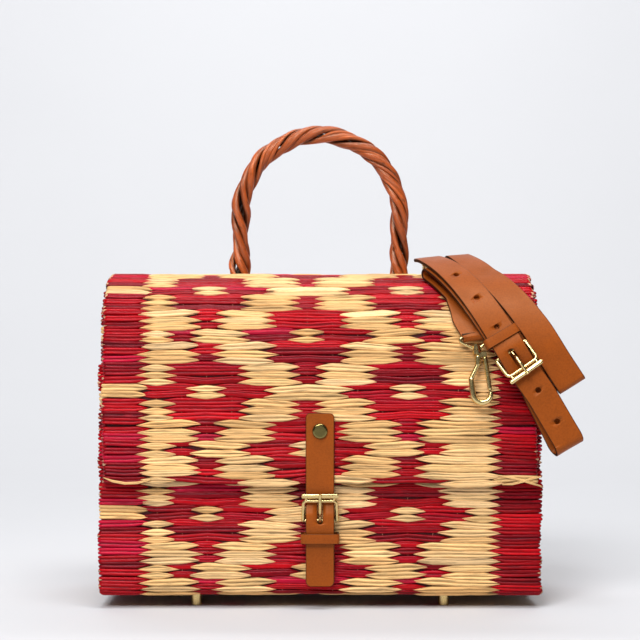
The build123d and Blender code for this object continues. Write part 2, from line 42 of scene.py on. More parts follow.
# box and lid, the same as in the CAD
HALF_WIDTH, HALF_DEPTH = 155.0, 62.0
BOX_BOTTOM, FRONT_TOP, BACK_TOP = 8.5, 174.0, 231.7
LID_FRONT, LID_BOTTOM, LID_TOP = -68.5, 88.5, 237.0
SHOULDER = 60.0
SHOULDER_Y, SHOULDER_Z = LID_FRONT + SHOULDER, LID_TOP - SHOULDER
MAT = 5.0

# weave
PICK = 4.96
COLUMN = 17.57
FRONT_COLUMNS, SIDE_COLUMNS = (-6, 7), (-1, 2)
LID_DIAMOND, BASKET_DIAMOND = 113.3, 27.3
REED_HEIGHT = 2.0
CRACKED_SHARE = 0.55


def linear(r, g, b):
    """An sRGB colour (0-255) as linear RGB."""
    return tuple(((c / 255 + 0.055) / 1.055) ** 2.4 if c > 10 else c / 255 / 12.92 for c in (r, g, b))


REDS = [linear(*c) for c in (
    (172, 3, 16), (154, 2, 12), (136, 1, 12), (190, 8, 20), (122, 1, 14),
    (166, 3, 24), (184, 14, 48), (148, 2, 10), (178, 5, 18))]
STRAWS = [linear(*c) for c in (
    (244, 200, 140), (240, 194, 130), (246, 204, 148), (238, 188, 124), (242, 198, 138), (232, 182, 118))]
BLUSH = np.array(linear(238, 160, 118))
CRACKED = linear(228, 176, 140)


# ------------------------------------------------------------------ materials

def material(name):
    m = bpy.data.materials.new(name)
    m.use_nodes = True
    tree = m.node_tree
    return m, tree, tree.nodes["Principled BSDF"]


def node(tree, kind, inputs=None, **settings):
    """A shader node whose inputs are linked to sockets or set to values."""
    n = tree.nodes.new(kind)
    for key, value in settings.items():
        setattr(n, key, value)
    for key, value in (inputs or {}).items():
        if isinstance(value, bpy.types.NodeSocket):
            tree.links.new(value, n.inputs[key])
        else:
            n.inputs[key].default_value = value
    return n


def ramp(tree, fac, stops):
    """A colour ramp. Each stop is a place and a grey or a colour."""
    n = node(tree, "ShaderNodeValToRGB", {"Fac": fac})
    while len(n.color_ramp.elements) < len(stops):
        n.color_ramp.elements.new(0.5)
    for element, (place, value) in zip(n.color_ramp.elements, stops):
        element.position = place
        element.color = (value, value, value, 1) if isinstance(value, float) else (*value, 1)
    return n.outputs["Color"]


def mixed(tree, kind, fac, a, b):
    """Two colours mixed. The colour sockets of the mix node are 6 and 7."""
    return node(tree, "ShaderNodeMix", {0: fac, 6: a, 7: b}, data_type="RGBA", blend_type=kind).outputs[2]


def noise(tree, vector, scale, detail, roughness=0.5):
    inputs = {"Vector": vector, "Scale": scale, "Detail": detail, "Roughness": roughness}
    return node(tree, "ShaderNodeTexNoise", inputs).outputs["Fac"]


def grain(tree, uv, along, across, detail, roughness=0.5):
    """Noise drawn out along a reed."""
    place = node(tree, "ShaderNodeMapping", {"Vector": uv, "Scale": (along, across, 1)}).outputs[0]
    return noise(tree, place, 1.0, detail, roughness)


def reed_inputs(tree):
    uv = node(tree, "ShaderNodeUVMap", uv_map="reed").outputs[0]
    return uv, node(tree, "ShaderNodeAttribute", attribute_name="tint_and_shade").outputs["Color"]


def position(tree):
    return node(tree, "ShaderNodeNewGeometry").outputs["Position"]


def surface(tree, shader, colour, rough, height, strength, depth, sheen=None):
    """Links colour, roughness and relief to the shader. sheen is a specular level and its tint."""
    tree.links.new(colour, shader.inputs["Base Color"])
    if isinstance(rough, float):
        shader.inputs["Roughness"].default_value = rough
    else:
        tree.links.new(rough, shader.inputs["Roughness"])
    bump = node(tree, "ShaderNodeBump", {"Height": height, "Strength": strength, "Distance": depth})
    tree.links.new(bump.outputs[0], shader.inputs["Normal"])
    if sheen:
        shader.inputs["Specular IOR Level"].default_value = sheen[0]
        shader.inputs["Specular Tint"].default_value = (*sheen[1], 1)


def reed_material(name, rough, sheen, stain, stain_low, stain_high):
    """Split reed: streaks and wrinkles run along the UV's U, colour comes from the point attribute that carries tint
    and painted shade.
    """
    m, tree, shader = material(name)
    uv, tint_and_shade = reed_inputs(tree)
    streak = grain(tree, uv, 0.03, 0.85, 4.0, 0.65)
    patch = grain(tree, uv, 0.06, 0.35, 2.0)
    fibre = grain(tree, uv, 0.12, 4.0, 3.0)
    colour = mixed(tree, "MULTIPLY", 1.0, tint_and_shade, ramp(tree, streak, [(0.41, 0.52), (0.48, 0.97), (0.72, 1.10)]))
    colour = mixed(tree, "MULTIPLY", 1.0, colour, ramp(tree, fibre, [(0.3, 0.86), (0.7, 1.08)]))
    spots = ramp(tree, patch, [(stain_low, 0.0), (stain_high, 1.0)])
    colour = mixed(tree, "MIX", spots, colour, (*stain, 1))
    gloss = ramp(tree, streak, [(0.3, rough + 0.18), (0.7, rough)])
    height = node(tree, "ShaderNodeMath", {0: streak, 1: fibre}, operation="ADD").outputs[0]
    surface(tree, shader, colour, gloss, height, 0.4, 0.0004, sheen)
    return m


def thread_material(name, colour, rough):
    m, tree, shader = material(name)
    fuzz = noise(tree, position(tree), 900.0, 3.0)
    shade = ramp(tree, fuzz, [(0.3, tuple(c * 0.5 for c in colour)), (0.7, colour)])
    surface(tree, shader, shade, rough, fuzz, 0.5, 0.0004)
    return m


def leather_material(name, base, dark):
    """Finished leather with fine pores, dark where the edge attribute is 1: along its edges, and as painted shade on
    the walls of punched holes.
    """
    m, tree, shader = material(name)
    where = position(tree)
    cloud = noise(tree, where, 55.0, 4.0, 0.6)
    pores = node(tree, "ShaderNodeTexVoronoi", {"Vector": where, "Scale": 1700.0}).outputs["Distance"]
    fine = noise(tree, where, 900.0, 4.0)
    low = tuple(c * 0.90 for c in base)
    high = tuple(min(1.0, c * 1.08) for c in base)
    colour = ramp(tree, cloud, [(0.3, low), (0.5, base), (0.72, high)])
    colour = mixed(tree, "MULTIPLY", 1.0, colour, ramp(tree, fine, [(0.32, 0.84), (0.6, 1.03)]))
    edge = node(tree, "ShaderNodeAttribute", attribute_name="edge").outputs["Fac"]
    colour = mixed(tree, "MIX", edge, colour, (*dark, 1))
    gloss = ramp(tree, cloud, [(0.3, 0.50), (0.7, 0.36)])
    height = node(tree, "ShaderNodeMath", {0: pores, 1: fine}, operation="ADD").outputs[0]
    surface(tree, shader, colour, gloss, height, 0.18, 0.0002, (0.3, (1.0, 0.72, 0.45)))
    return m


def willow_material(name, base):
    """Peeled willow, streaked along the rod, with darker knots; its colour attribute adds painted shade between the
    rods.
    """
    m, tree, shader = material(name)
    uv, tint_and_shade = reed_inputs(tree)
    streak = grain(tree, uv, 0.05, 1.1, 5.0, 0.7)
    knot = grain(tree, uv, 0.22, 0.3, 3.0)
    low = tuple(c * 0.34 for c in base)
    high = tuple(min(1, c * 1.5) for c in base)
    colour = ramp(tree, streak, [(0.34, low), (0.5, base), (0.68, high)])
    colour = mixed(tree, "MULTIPLY", 1.0, colour, ramp(tree, knot, [(0.30, 0.45), (0.42, 1.0)]))
    colour = mixed(tree, "MULTIPLY", 1.0, colour, tint_and_shade)
    gloss = ramp(tree, streak, [(0.3, 0.42), (0.7, 0.2)])
    surface(tree, shader, colour, gloss, streak, 0.6, 0.0007, (0.8, (1.0, 0.78, 0.6)))
    return m


def brass_material(name, base, rough):
    m, tree, shader = material(name)
    wear = noise(tree, position(tree), 220.0, 4.0)
    colour = ramp(tree, wear, [(0.3, tuple(c * 0.9 for c in base)), (0.7, base)])
    gloss = ramp(tree, wear, [(0.3, rough + 0.1), (0.7, rough)])
    surface(tree, shader, colour, gloss, wear, 0.04, 0.0001)
    shader.inputs["Metallic"].default_value = 1.0
    return m


red_reed = reed_material("red_reed", 0.20, (0.34, (1.0, 0.34, 0.40)), linear(196, 14, 34), 0.62, 0.95)
straw_reed = reed_material("straw_reed", 0.44, (0.3, (1.0, 0.85, 0.65)), linear(222, 164, 96), 0.60, 0.98)
# the mat's core, a dark sheet coloured as the painted shade seen in the gaps between reeds
painted_shade_core = thread_material("reed_core_painted_shade", linear(74, 4, 12), 0.85)
binding = thread_material("binding_thread", linear(176, 110, 90), 0.8)
tan_leather = leather_material("tan_leather", linear(147, 70, 18), linear(40, 18, 9))
willow = willow_material("willow", linear(168, 76, 28))
brass = brass_material("pale_brass", linear(226, 200, 138), 0.2)
# darker brass for the closure's rivet: a painted dark reflection on its face
dark_reflection_brass = brass_material("dark_reflection_brass", linear(128, 116, 70), 0.16)
MAT_MATERIALS = [red_reed, straw_reed, painted_shade_core, binding]
RED, STRAW, CORE, BINDING = range(4)


# ------------------------------------------------------------------ mesh helpers

def make_object(name, verts, faces, materials, body, face_material=None, uvs=None, tint_and_shade=None, edge=None):
    """A smooth mesh object from millimetre points, riding on a CAD body."""
    mesh = bpy.data.meshes.new(name)
    mesh.from_pydata((np.asarray(verts, float) * MM).tolist(), [], faces)
    for m in materials:
        mesh.materials.append(m)
    if face_material is not None:
        mesh.polygons.foreach_set("material_index", np.asarray(face_material, np.int32))
    if uvs is not None:
        loops = np.zeros(len(mesh.loops), np.int32)
        mesh.loops.foreach_get("vertex_index", loops)
        layer = mesh.uv_layers.new(name="reed")
        layer.data.foreach_set("uv", np.asarray(uvs, np.float32)[loops].ravel())
    if tint_and_shade is not None:
        data = mesh.color_attributes.new(name="tint_and_shade", type="FLOAT_COLOR", domain="POINT")
        rgba = np.ones((len(verts), 4), np.float32)
        rgba[:, :3] = tint_and_shade
        data.data.foreach_set("color", rgba.ravel())
    if edge is not None:
        data = mesh.attributes.new(name="edge", type="FLOAT", domain="POINT")
        data.data.foreach_set("value", np.asarray(edge, np.float32))
    mesh.polygons.foreach_set("use_smooth", np.ones(len(mesh.polygons), bool))
    mesh.update()
    piece = bpy.data.objects.new(name, mesh)
    bpy.context.scene.collection.objects.link(piece)
    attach(piece, body)
    return piece


def rounded(points, radii, step=1.0):
    """Dense points along a polyline with arcs at its inner corners."""
    dense = [np.array(points[0], float)]
    for i in range(1, len(points) - 1):
        a, b, c = (np.array(points[j], float) for j in (i - 1, i, i + 1))
        u, v = (a - b) / np.linalg.norm(a - b), (c - b) / np.linalg.norm(c - b)
        half = np.arccos(np.clip(u @ v, -1, 1)) / 2
        cut = radii[i - 1] / np.tan(half)
        centre = b + (u + v) / np.linalg.norm(u + v) * radii[i - 1] / np.sin(half)
        p, q = b + u * cut - centre, b + v * cut - centre
        turn = pi - 2 * half
        count = max(4, int(radii[i - 1] * turn / step))
        for k in range(count + 1):
            f = k / count
            w = (np.sin((1 - f) * turn) * p + np.sin(f * turn) * q) / np.sin(turn)
            dense.append(centre + w)
    dense.append(np.array(points[-1], float))
    out = [dense[0]]
    for p in dense[1:]:
        gap = np.linalg.norm(p - out[-1])
        if gap > 1e-6:
            n = max(1, int(gap / 4))
            start = out[-1]
            out += [start + (p - start) * (k + 1) / n for k in range(n)]
    return np.array(out)


def spread(values, per=4):
    """Catmull-Rom through rows of values, with per steps in each span."""
    p = np.vstack([2 * values[0] - values[1], values, 2 * values[-1] - values[-2]])
    out = []
    for i in range(1, len(p) - 2):
        a, b, c, d = p[i - 1:i + 3]
        for k in range(per):
            u = k / per
            square = (2 * a - 5 * b + 4 * c - d) * u * u
            cube = (3 * b - a - 3 * c + d) * u ** 3
            out.append(0.5 * (2 * b + (c - a) * u + square + cube))
    out.append(p[-2])
    return np.array(out)


def unit(v):
    v = np.asarray(v, float)
    return v / np.linalg.norm(v, axis=-1, keepdims=True)


def run_along(points):
    """Length along a polyline at each of its points."""
    return np.concatenate([[0], np.cumsum(np.linalg.norm(np.diff(points, axis=0), axis=1))])


def ring_quads(grid):
    """Faces round and along a grid of point numbers, one row to each section."""
    a, b = grid[:-1], grid[1:]
    return np.stack([a, np.roll(a, -1, 1), np.roll(b, -1, 1), b], -1).reshape(-1, 4)


# ------------------------------------------------------------------ woven mats

# Sections of a reed bundle: places across it, how far each stands out, and its painted shade, which darkens the
# grooves and edges and lightens the ridges a little.
RIDGES = {name: np.array(rows) for name, rows in {
    "two": (
        (-1, -0.93, -0.78, -0.55, -0.30, -0.13, 0.0, 0.13, 0.30, 0.55, 0.78, 0.93, 1),
        (0, 0.42, 0.78, 1.0, 0.94, 0.72, 0.40, 0.74, 0.96, 1.0, 0.76, 0.40, 0),
        (0.22, 0.58, 0.96, 1.06, 1.0, 0.78, 0.34, 0.78, 1.02, 1.06, 0.95, 0.56, 0.22),
    ),
    "three": (
        (-1, -0.90, -0.72, -0.50, -0.37, -0.22, 0.0, 0.20, 0.33, 0.46, 0.70, 0.90, 1),
        (0, 0.48, 0.84, 0.84, 0.62, 0.88, 1.0, 0.92, 0.66, 0.90, 0.86, 0.48, 0),
        (0.25, 0.70, 1.0, 0.95, 0.48, 0.98, 1.05, 1.0, 0.48, 0.98, 1.0, 0.70, 0.25),
    ),
    "uneven": (
        (-1, -0.90, -0.70, -0.40, -0.10, 0.15, 0.30, 0.38, 0.46, 0.62, 0.80, 0.93, 1),
        (0, 0.48, 0.82, 0.97, 1.0, 0.93, 0.84, 0.60, 0.82, 0.92, 0.75, 0.40, 0),
        (0.25, 0.70, 1.0, 1.03, 1.02, 1.0, 0.90, 0.46, 0.92, 1.02, 0.95, 0.60, 0.25),
    ),
    "plain": (
        (-1, -0.80, -0.45, -0.14, 0.0, 0.14, 0.45, 0.80, 1.0),
        (0, 0.72, 0.98, 0.86, 0.58, 0.86, 1.0, 0.72, 0.0),
        (0.28, 0.85, 1.03, 0.90, 0.46, 0.92, 1.04, 0.85, 0.28),
    ),
    "pair": (
        (-1, -0.85, -0.50, -0.15, 0.0, 0.15, 0.50, 0.85, 1.0),
        (0, 0.70, 1.0, 0.72, 0.30, 0.72, 1.0, 0.70, 0.0),
        (0.30, 0.85, 1.05, 0.85, 0.38, 0.85, 1.05, 0.85, 0.30),
    ),
    "coarse": (
        (-1, -0.5, 0.0, 0.5, 1.0),
        (0, 0.95, 0.75, 0.95, 0.0),
        (0.4, 1.0, 0.75, 1.0, 0.4),
    ),
}.items()}


class Mat:
    """Collects reeds laid on a sheet: x across, t along the sheet's outline, h out from its face."""

    def __init__(self, to_world):
        self.to_world = to_world
        self.x, self.t, self.h, self.uv, self.tint_and_shade = [], [], [], [], []
        self.faces, self.kinds, self.count = [], [], 0

    def add(self, x, t, h, uv, tint_and_shade, kind, closed=False):
        """A grid of points of one kind of material. closed joins its last column to its first."""
        n, m = x.shape
        for store, values in ((self.x, x), (self.t, t), (self.h, h)):
            store.append(values.ravel())
        self.uv.append(uv.reshape(-1, 2))
        self.tint_and_shade.append(tint_and_shade.reshape(-1, 3))
        grid = self.count + np.arange(n * m).reshape(n, m)
        if closed:
            quads = ring_quads(grid)
        else:
            quads = np.stack([grid[:-1, :-1], grid[1:, :-1], grid[1:, 1:], grid[:-1, 1:]], -1).reshape(-1, 4)
        self.faces.append(quads)
        self.kinds.append(np.full(len(quads), kind))
        self.count += n * m

    def strip(self, x, t, h, width, bulge, nx, nh, kind, colour, section, tone=None):
        """One reed bundle: x, t, h of its middle line's foot, half width, bulge, and its outward way."""
        v, rise, shade = RIDGES[section]
        lift = bulge[:, None] * rise[None, :]
        run = np.concatenate([[0], np.cumsum(np.hypot(np.diff(x), np.diff(h)))])
        shift = rng.uniform(0, 900, 2)
        across = width[:, None] * v[None, :]
        uv = np.stack(np.broadcast_arrays(run[:, None] + shift[0], across + shift[1]), -1)
        # painted shade across the bundle: dark in its grooves and at its edges, a little light on its ridges, milder
        # on natural reed
        if kind == STRAW:
            shade = 1 - (1 - shade) * 0.52
        tint_and_shade = np.broadcast_to(np.array(colour), (len(x), 3))[:, None, :] * shade[None, :, None]
        if tone is not None:
            tint_and_shade = tint_and_shade * tone[:, None, None]
        self.add(x[:, None] + nx[:, None] * lift, t[:, None] + across, h[:, None] + nh[:, None] * lift, uv, tint_and_shade, kind)

    def core_sheet(self, x_low, x_high, t_low, t_high, nx, nt):
        """The core of the mat, seen only through its gaps; its dark red is painted shade in the gaps."""
        x, t = np.meshgrid(np.linspace(x_low, x_high, nx), np.linspace(t_low, t_high, nt), indexing="ij")
        self.add(x, t, np.full(x.shape, -MAT / 2), np.stack([x, t], -1), np.ones((nx, nt, 3)), CORE)

    def threads(self, columns, t_low, t_high):
        """The binding threads, one under the middle of each column."""
        ring = np.linspace(0, 2 * pi, 6)[:-1]
        radius = 0.3
        for k in range(columns[0], columns[1] + 1):
            along = np.arange(t_low, t_high, 2.6)
            middle = (k - 0.5) * COLUMN + 0.25 * np.sin(along * 1.1 + k)
            x = middle[:, None] + radius * np.cos(ring)[None, :]
            h = -MAT / 2 + 0.45 + radius * np.sin(ring)[None, :] + 0 * x
            t = along[:, None] + 0 * x
            self.add(x, t, h, np.stack([x, t], -1), np.ones((*x.shape, 3)), BINDING, closed=True)

    def build(self, name, nodes, body="basket", flip=False):
        x, t, h = (np.concatenate(part) for part in (self.x, self.t, self.h))
        faces = np.concatenate(self.faces)
        if flip:
            faces = faces[:, ::-1]
        piece = make_object(
            name, self.to_world(x, t, h), faces.tolist(), MAT_MATERIALS, body,
            np.concatenate(self.kinds), np.concatenate(self.uv), np.concatenate(self.tint_and_shade))
        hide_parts(*nodes)


def profile_map(outline, t_end):
    """Turns (x, t, h) into world points for a sheet whose outline lies in the YZ plane."""
    run = run_along(outline)
    way = unit(np.gradient(outline, run, axis=0))
    t_start = t_end - run[-1]
    t_table = run + t_start

    def to_world(x, t, h):
        y = np.interp(t, t_table, outline[:, 0])
        z = np.interp(t, t_table, outline[:, 1])
        ty = np.interp(t, t_table, way[:, 0])
        tz = np.interp(t, t_table, way[:, 1])
        size = np.hypot(ty, tz)
        over = t - np.clip(t, t_table[0], t_table[-1])
        return np.stack([x, y + (-tz * h + ty * over) / size, z + (ty * h + tz * over) / size], -1)

    return to_world, t_start


def red_shows(k, t, base):
    """Whether red reed is on the face at a column and height; base is a diamond's height at column 0."""
    repeat = 8 * PICK
    nearest = int((t - base) // repeat)
    for m in range(nearest - 1, nearest + 3):
        rows = abs(t - base - m * repeat) / PICK
        for middle in ((0,) if m % 2 == 0 else (-4, 4)):
            d = abs(k - middle)
            if rows < 1 and (d in (1, 2) or d == 5 and middle == 0):
                return True
            if 1 < rows < 4 and d <= 1:
                return True
            if 4 < rows < 7 and d == 0:
                return True
    return False


def tone_of(red):
    tones = REDS if red else STRAWS
    return tones[rng.integers(len(tones))]


def wander(x, t, seed):
    """A smooth wobble of about one unit over a face."""
    return (
        np.sin(x / 31.0 + t / 17.0 + seed)
        + np.sin(x / 19.0 - t / 41.0 + 2.1 * seed)
        + 0.7 * np.sin(x / 11.0 + t / 9.0 + 3.7 * seed)
    ) / 2.7


def weave(mat, rows, base, columns, face, sections, edges, hem_colour, droop=None):
    """Lays every pick of a woven face. face is 1 outside and -1 inside, where the colours change over.

    edges gives the sheet's sides at a height, hem_colour tells a red hem, droop sags the picks.
    """
    first, last = columns
    ks = np.arange(first, last + 1)
    xk = (ks - 0.5) * COLUMN
    colour_rows = {i: [red_shows(k, t, base) == (face > 0) for k in ks] for i, t in enumerate(rows)}
    for i, t in enumerate(rows):
        reds = colour_rows[i]
        above = colour_rows.get(i + 1, reds)
        below = colour_rows.get(i - 1, reds)
        tones = {True: tone_of(True), False: tone_of(False)}
        lean = rng.normal(0, 0.15)
        low, high = edges(t)
        for red in (True, False):
            shift = 1.15 if red else -1.15
            middles = []
            for up, down in zip(above, below):
                part = 1.0 if up == red and down == red else 0.35
                offset = 0.35 * (up != red) - 0.35 * (down != red)
                middles.append(t + shift * part + offset)
            middles = np.array(middles) + 0.5 * wander(xk, t * 3.1, i * 0.7) + lean * xk / 60
            if droop is not None:
                middles = middles + droop(xk, t)
            j = 0
            while j < len(ks):
                if reds[j] != red:
                    j += 1
                    continue
                end = j
                while end + 1 < len(ks) and reds[end + 1] == red:
                    end += 1
                if xk[j] - 0.35 * COLUMN > low and xk[end] + 0.35 * COLUMN < high:
                    lay_float(mat, xk[j:end + 1], middles[j:end + 1], red, tones[red], face, sections[0])
                j = end + 1
    if face > 0:
        hems(mat, rows, xk, edges, hem_colour, sections[1], droop)


def lay_float(mat, xs, mids, red, colour, face, section):
    """A reed bundle that shows over a run of columns and dives under at both ends."""
    left, right = rng.uniform(*((0.74, 0.92) if red else (0.78, 0.97)), 2) * COLUMN
    if rng.random() < 0.12:
        left *= 0.86
    grades = np.array([0.0, 0.10, 0.24, 0.42, 0.62, 0.82])
    start = xs[0] - left * (1 - grades)
    finish = xs[-1] + right * (1 - grades[::-1])
    between = []
    for a, b in zip(xs[:-1], xs[1:]):
        between += [a, (a + b) / 2]
    between.append(xs[-1])
    x = np.concatenate([start, between, finish])
    mid = np.interp(x, xs, mids)
    # how far each place is out in a tip, 0 to 1
    out = np.maximum(np.clip((xs[0] - x) / left, 0, 1), np.clip((x - xs[-1]) / right, 0, 1))
    body = 1 - np.clip((out - 0.06) / 0.94, 0, 1) ** (1.9 if red else 1.02)
    half = rng.normal(2.78 if red else 2.92, 0.09)
    swell = np.sin((x - xs[0]) / COLUMN * pi) ** 2
    width = (half * body + 0.04) * np.where(out > 0, 1, 1 - 0.05 * swell)
    rise = 1 - out ** (2.4 if red else 4.5)
    peak = REED_HEIGHT + rng.uniform(-0.25, 0.15) - (0.22 if red else 0.0)
    foot = -MAT / 2 + 0.15 + REED_HEIGHT * 0.10 * rise + (0 if red else 0.35)
    bulge = np.maximum(0.10, (peak - 0.15) * rise) * np.where(out > 0, 1, 1 - 0.07 * swell)
    # the tips turn a little towards the row's own height as they go under
    mid = mid + np.where(out > 0, (out ** 2) * rng.normal(0, 0.35), 0) + 0.10 * np.sin(x / 7.0 + mids[0])
    # random tone, and painted shade that darkens each tip where it dives under the next pick
    tone = rng.normal(1.0, 0.09) * (1 - 0.20 * out ** 3)
    colour = np.array(colour) * rng.normal(1, 0.04)
    if rng.random() < 0.3:
        colour = np.array(tone_of(red))
    # natural reed takes a blush from the dyed reed at its tips
    if not red:
        stain = (np.clip((out - 0.45) / 0.5, 0, 1) * rng.uniform(0.3, 0.8))[:, None]
        colour = colour * (1 - stain) + BLUSH * stain
    h = foot + np.minimum(0, 0.35 * wander(x, mids[0], 5.0) - 0.25)
    if section == "fine":
        section = ("two", "two", "three", "uneven")[rng.integers(4)]
    outward = np.full_like(x, 1.0 if face > 0 else -1.0)
    mat.strip(x, mid, h if face > 0 else -MAT - h, width, bulge, np.zeros_like(x), outward,
              RED if red else STRAW, colour, section, tone)


HEM_RADIUS, HEM_SQUASH, HEM_LIFT = 2.2, 0.55, 0.45


def hems(mat, rows, xk, edges, hem_colour, section, droop):
    """Each pick's reeds at the sides, folded over the edge of the mat to its other face."""
    flat = np.array([0.0, 0.06, 0.16, 0.32, 0.6, 1.0])
    turn = np.linspace(0, pi, 9)[1:-1]
    for side in (-1, 1):
        inner = xk[0] if side < 0 else xk[-1]
        for i, t in enumerate(rows):
            low, high = edges(t)
            edge = low if side < 0 else high
            red = hem_colour(side, t, i)
            start = inner + side * COLUMN * 0.5 - side * rng.uniform(2.0, 6.0)
            if (edge - start) * side < 6:
                continue
            reach = edge - side * (HEM_RADIUS - rng.uniform(-0.6, 0.5))
            x_front = start + (reach - start) * flat
            x_turn = reach + side * HEM_RADIUS * HEM_SQUASH * np.sin(turn)
            h_turn = -MAT / 2 + HEM_LIFT * np.cos(turn)
            x = np.concatenate([x_front, x_turn, x_front[::-1]])
            out = np.concatenate([1 - np.clip(flat / 0.30, 0, 1), np.zeros(7), 1 - np.clip(flat[::-1] / 0.30, 0, 1)])
            nh = np.concatenate([np.ones(6), np.cos(turn), -np.ones(6)])
            nx = np.concatenate([np.zeros(6), np.sin(turn) * side, np.zeros(6)])
            h = np.concatenate([np.full(6, -MAT / 2 + HEM_LIFT), h_turn, np.full(6, -MAT / 2 - HEM_LIFT)])
            bulge = np.maximum(0.1, (REED_HEIGHT - 0.15) * (1 - out ** 2)) * rng.uniform(0.9, 1.05)
            width = rng.normal(2.6, 0.1) * (1 - out ** 1.4) + 0.05
            mid = t + (1.15 if red else -0.4) * np.clip(1 - abs(x - start) / 14, 0, 1)
            mid = mid + 0.6 * wander(x, t * 2.3, 9.0 + side) + side * (x - inner) * 0.012 * np.sin(i * 1.7)
            mid = mid + np.clip(abs(x - inner) / 30, 0, 1) * rng.normal(1.0 if side < 0 else 0.2, 0.35)
            if droop is not None:
                mid = mid + droop(x, t)
            tone = np.ones_like(x) * rng.normal(1.0, 0.1)
            mat.strip(x, mid, h, width, bulge, nx, nh, RED if red else STRAW, tone_of(red), section, tone)
            if red and rng.random() < CRACKED_SHARE:
                crack(mat, reach, side, mid[8])


def crack(mat, reach, side, t):
    """Cracked, paler fibres where dyed reed is bent round the hem."""
    turn = np.linspace(rng.uniform(0.02, 0.2) * pi, rng.uniform(0.4, 0.85) * pi, 5)
    x = reach + side * HEM_RADIUS * HEM_SQUASH * np.sin(turn)
    h = -MAT / 2 + HEM_LIFT * np.cos(turn)
    size = np.array([0.05, 0.7, 1.0, 0.7, 0.05]) * rng.uniform(0.5, 1.5)
    mat.strip(x, t + rng.uniform(-1.5, 1.5) + np.zeros(5), h, size, np.full(5, 2.2), np.sin(turn) * side,
              np.cos(turn), STRAW, CRACKED, "coarse")


# lid: up the front, round the shoulder and back to the hinge
lid_outline = rounded([(LID_FRONT, LID_BOTTOM), (LID_FRONT, LID_TOP), (HALF_DEPTH, LID_TOP)], [SHOULDER], 2.0)
lid_length = SHOULDER_Z + pi * SHOULDER / 2 + HALF_DEPTH - SHOULDER_Y
lid_map, lid_start = profile_map(lid_outline, lid_length)
LID_EDGE = 151.2


def lid_edges(t):
    ease = 0.6 * sin(t / 13.0) + 0.4 * sin(t / 5.0)
    return -LID_EDGE - 0.5 + ease * 0.8, LID_EDGE + ease * 0.6


def lid_droop(x, t):
    """The last picks over the lid's lower edge sag unevenly."""
    near = np.exp(-np.maximum(0, t - 91) / 7.0)
    return near * (1.2 * np.sin(x / 21.0 + 0.6) + 0.9 * np.sin(x / 9.5) - 0.4)


def lid_hem(side, t, i):
    """Red, but for a natural band at three heights on the left and the lowest picks on the right."""
    if side < 0:
        return all(abs(t - centre) >= 1.3 * PICK for centre in (153.1, 232.5, 311.9))
    return t > 95.6


lid_rows = np.arange(LID_DIAMOND - PICK * 4.5, 340.0, PICK)
lid_outer = Mat(lid_map)
weave(lid_outer, lid_rows, LID_DIAMOND, FRONT_COLUMNS, 1, ("fine", "pair"), lid_edges, lid_hem, lid_droop)
lid_outer.threads(FRONT_COLUMNS, 90.0, 337.0)
# reeds that have come loose at the ends of the lower edge
for loose in (
    ((-151, 93.0), (-145, 90.6), (-136, 89.0), (-127, 89.4), (-118, 91.6)),
    ((124, 94.5), (132, 93.2), (140, 91.4), (148, 89.0), (154.5, 86.9)),
    ((127, 88.2), (134, 88.6), (141, 90.2), (148, 92.4), (154.0, 93.6)),
):
    x, t = np.array(loose).T
    fade = np.array([0.4, 1.0, 1.0, 1.0, 0.5])
    lid_outer.strip(x, t, np.full(5, -0.6), fade * 0.95, np.full(5, 1.1), np.zeros(5), np.ones(5),
                    STRAW, STRAWS[1], "plain")
lid_outer.build("lid_weave", ["lid_mat"], "lid")

lid_inner = Mat(lid_map)
weave(lid_inner, lid_rows[1:], LID_DIAMOND, FRONT_COLUMNS, -1, ("coarse", "coarse"), lid_edges, lid_hem, lid_droop)
lid_inner.core_sheet(-LID_EDGE + 2.5, LID_EDGE - 2.5, 90.0, 339.0, 8, 90)
lid_inner.build("lid_weave_inside", ["lid_mat"], "lid")

# basket: down the back, under and up the front
basket_outline = rounded(
    [(HALF_DEPTH, BACK_TOP), (HALF_DEPTH, BOX_BOTTOM), (-HALF_DEPTH, BOX_BOTTOM), (-HALF_DEPTH, FRONT_TOP)],
    [8.0, 8.0], 1.0)
basket_map, basket_start = profile_map(basket_outline, FRONT_TOP)


def basket_edges(t):
    ease = 0.6 * sin(t / 11.0 + 1) + 0.4 * sin(t / 4.3)
    return -HALF_WIDTH + ease * 0.7, HALF_WIDTH + ease * 0.6


def basket_hem(side, t, i):
    """Red, but for natural bands on the left and some picks of the bottom and back on the right."""
    if side < 0:
        return all(abs(t - (67.3 + m * 79.36)) >= 1.3 * PICK for m in (-5, -3, -1, 0, 1, 2))
    return t > -4 or int(t / 37) % 3 != 0


def basket_droop(x, t):
    """The lowest picks of the front sag a little."""
    return -np.exp(-abs(t - 8.0) / 9.0) * (1.5 + 0.7 * np.sin(x / 17.0 + 1.4))


first_pick = BASKET_DIAMOND - PICK * 4.5
front_rows = np.arange(first_pick, 173.0, PICK)
rear_rows = np.arange(first_pick - PICK, basket_start + 1.0, -PICK)[::-1]
basket_front = Mat(basket_map)
weave(basket_front, front_rows, BASKET_DIAMOND, FRONT_COLUMNS, 1, ("fine", "pair"),
      basket_edges, basket_hem, basket_droop)
basket_front.threads(FRONT_COLUMNS, 4.0, 172.0)
basket_front.build("basket_weave_front", ["basket_mat"])

basket_back = Mat(basket_map)
weave(basket_back, rear_rows, BASKET_DIAMOND, FRONT_COLUMNS, 1, ("plain", "plain"), basket_edges, basket_hem)
basket_back.threads(FRONT_COLUMNS, basket_start + 2, 4.0)
basket_back.build("basket_weave_back", ["basket_mat"])

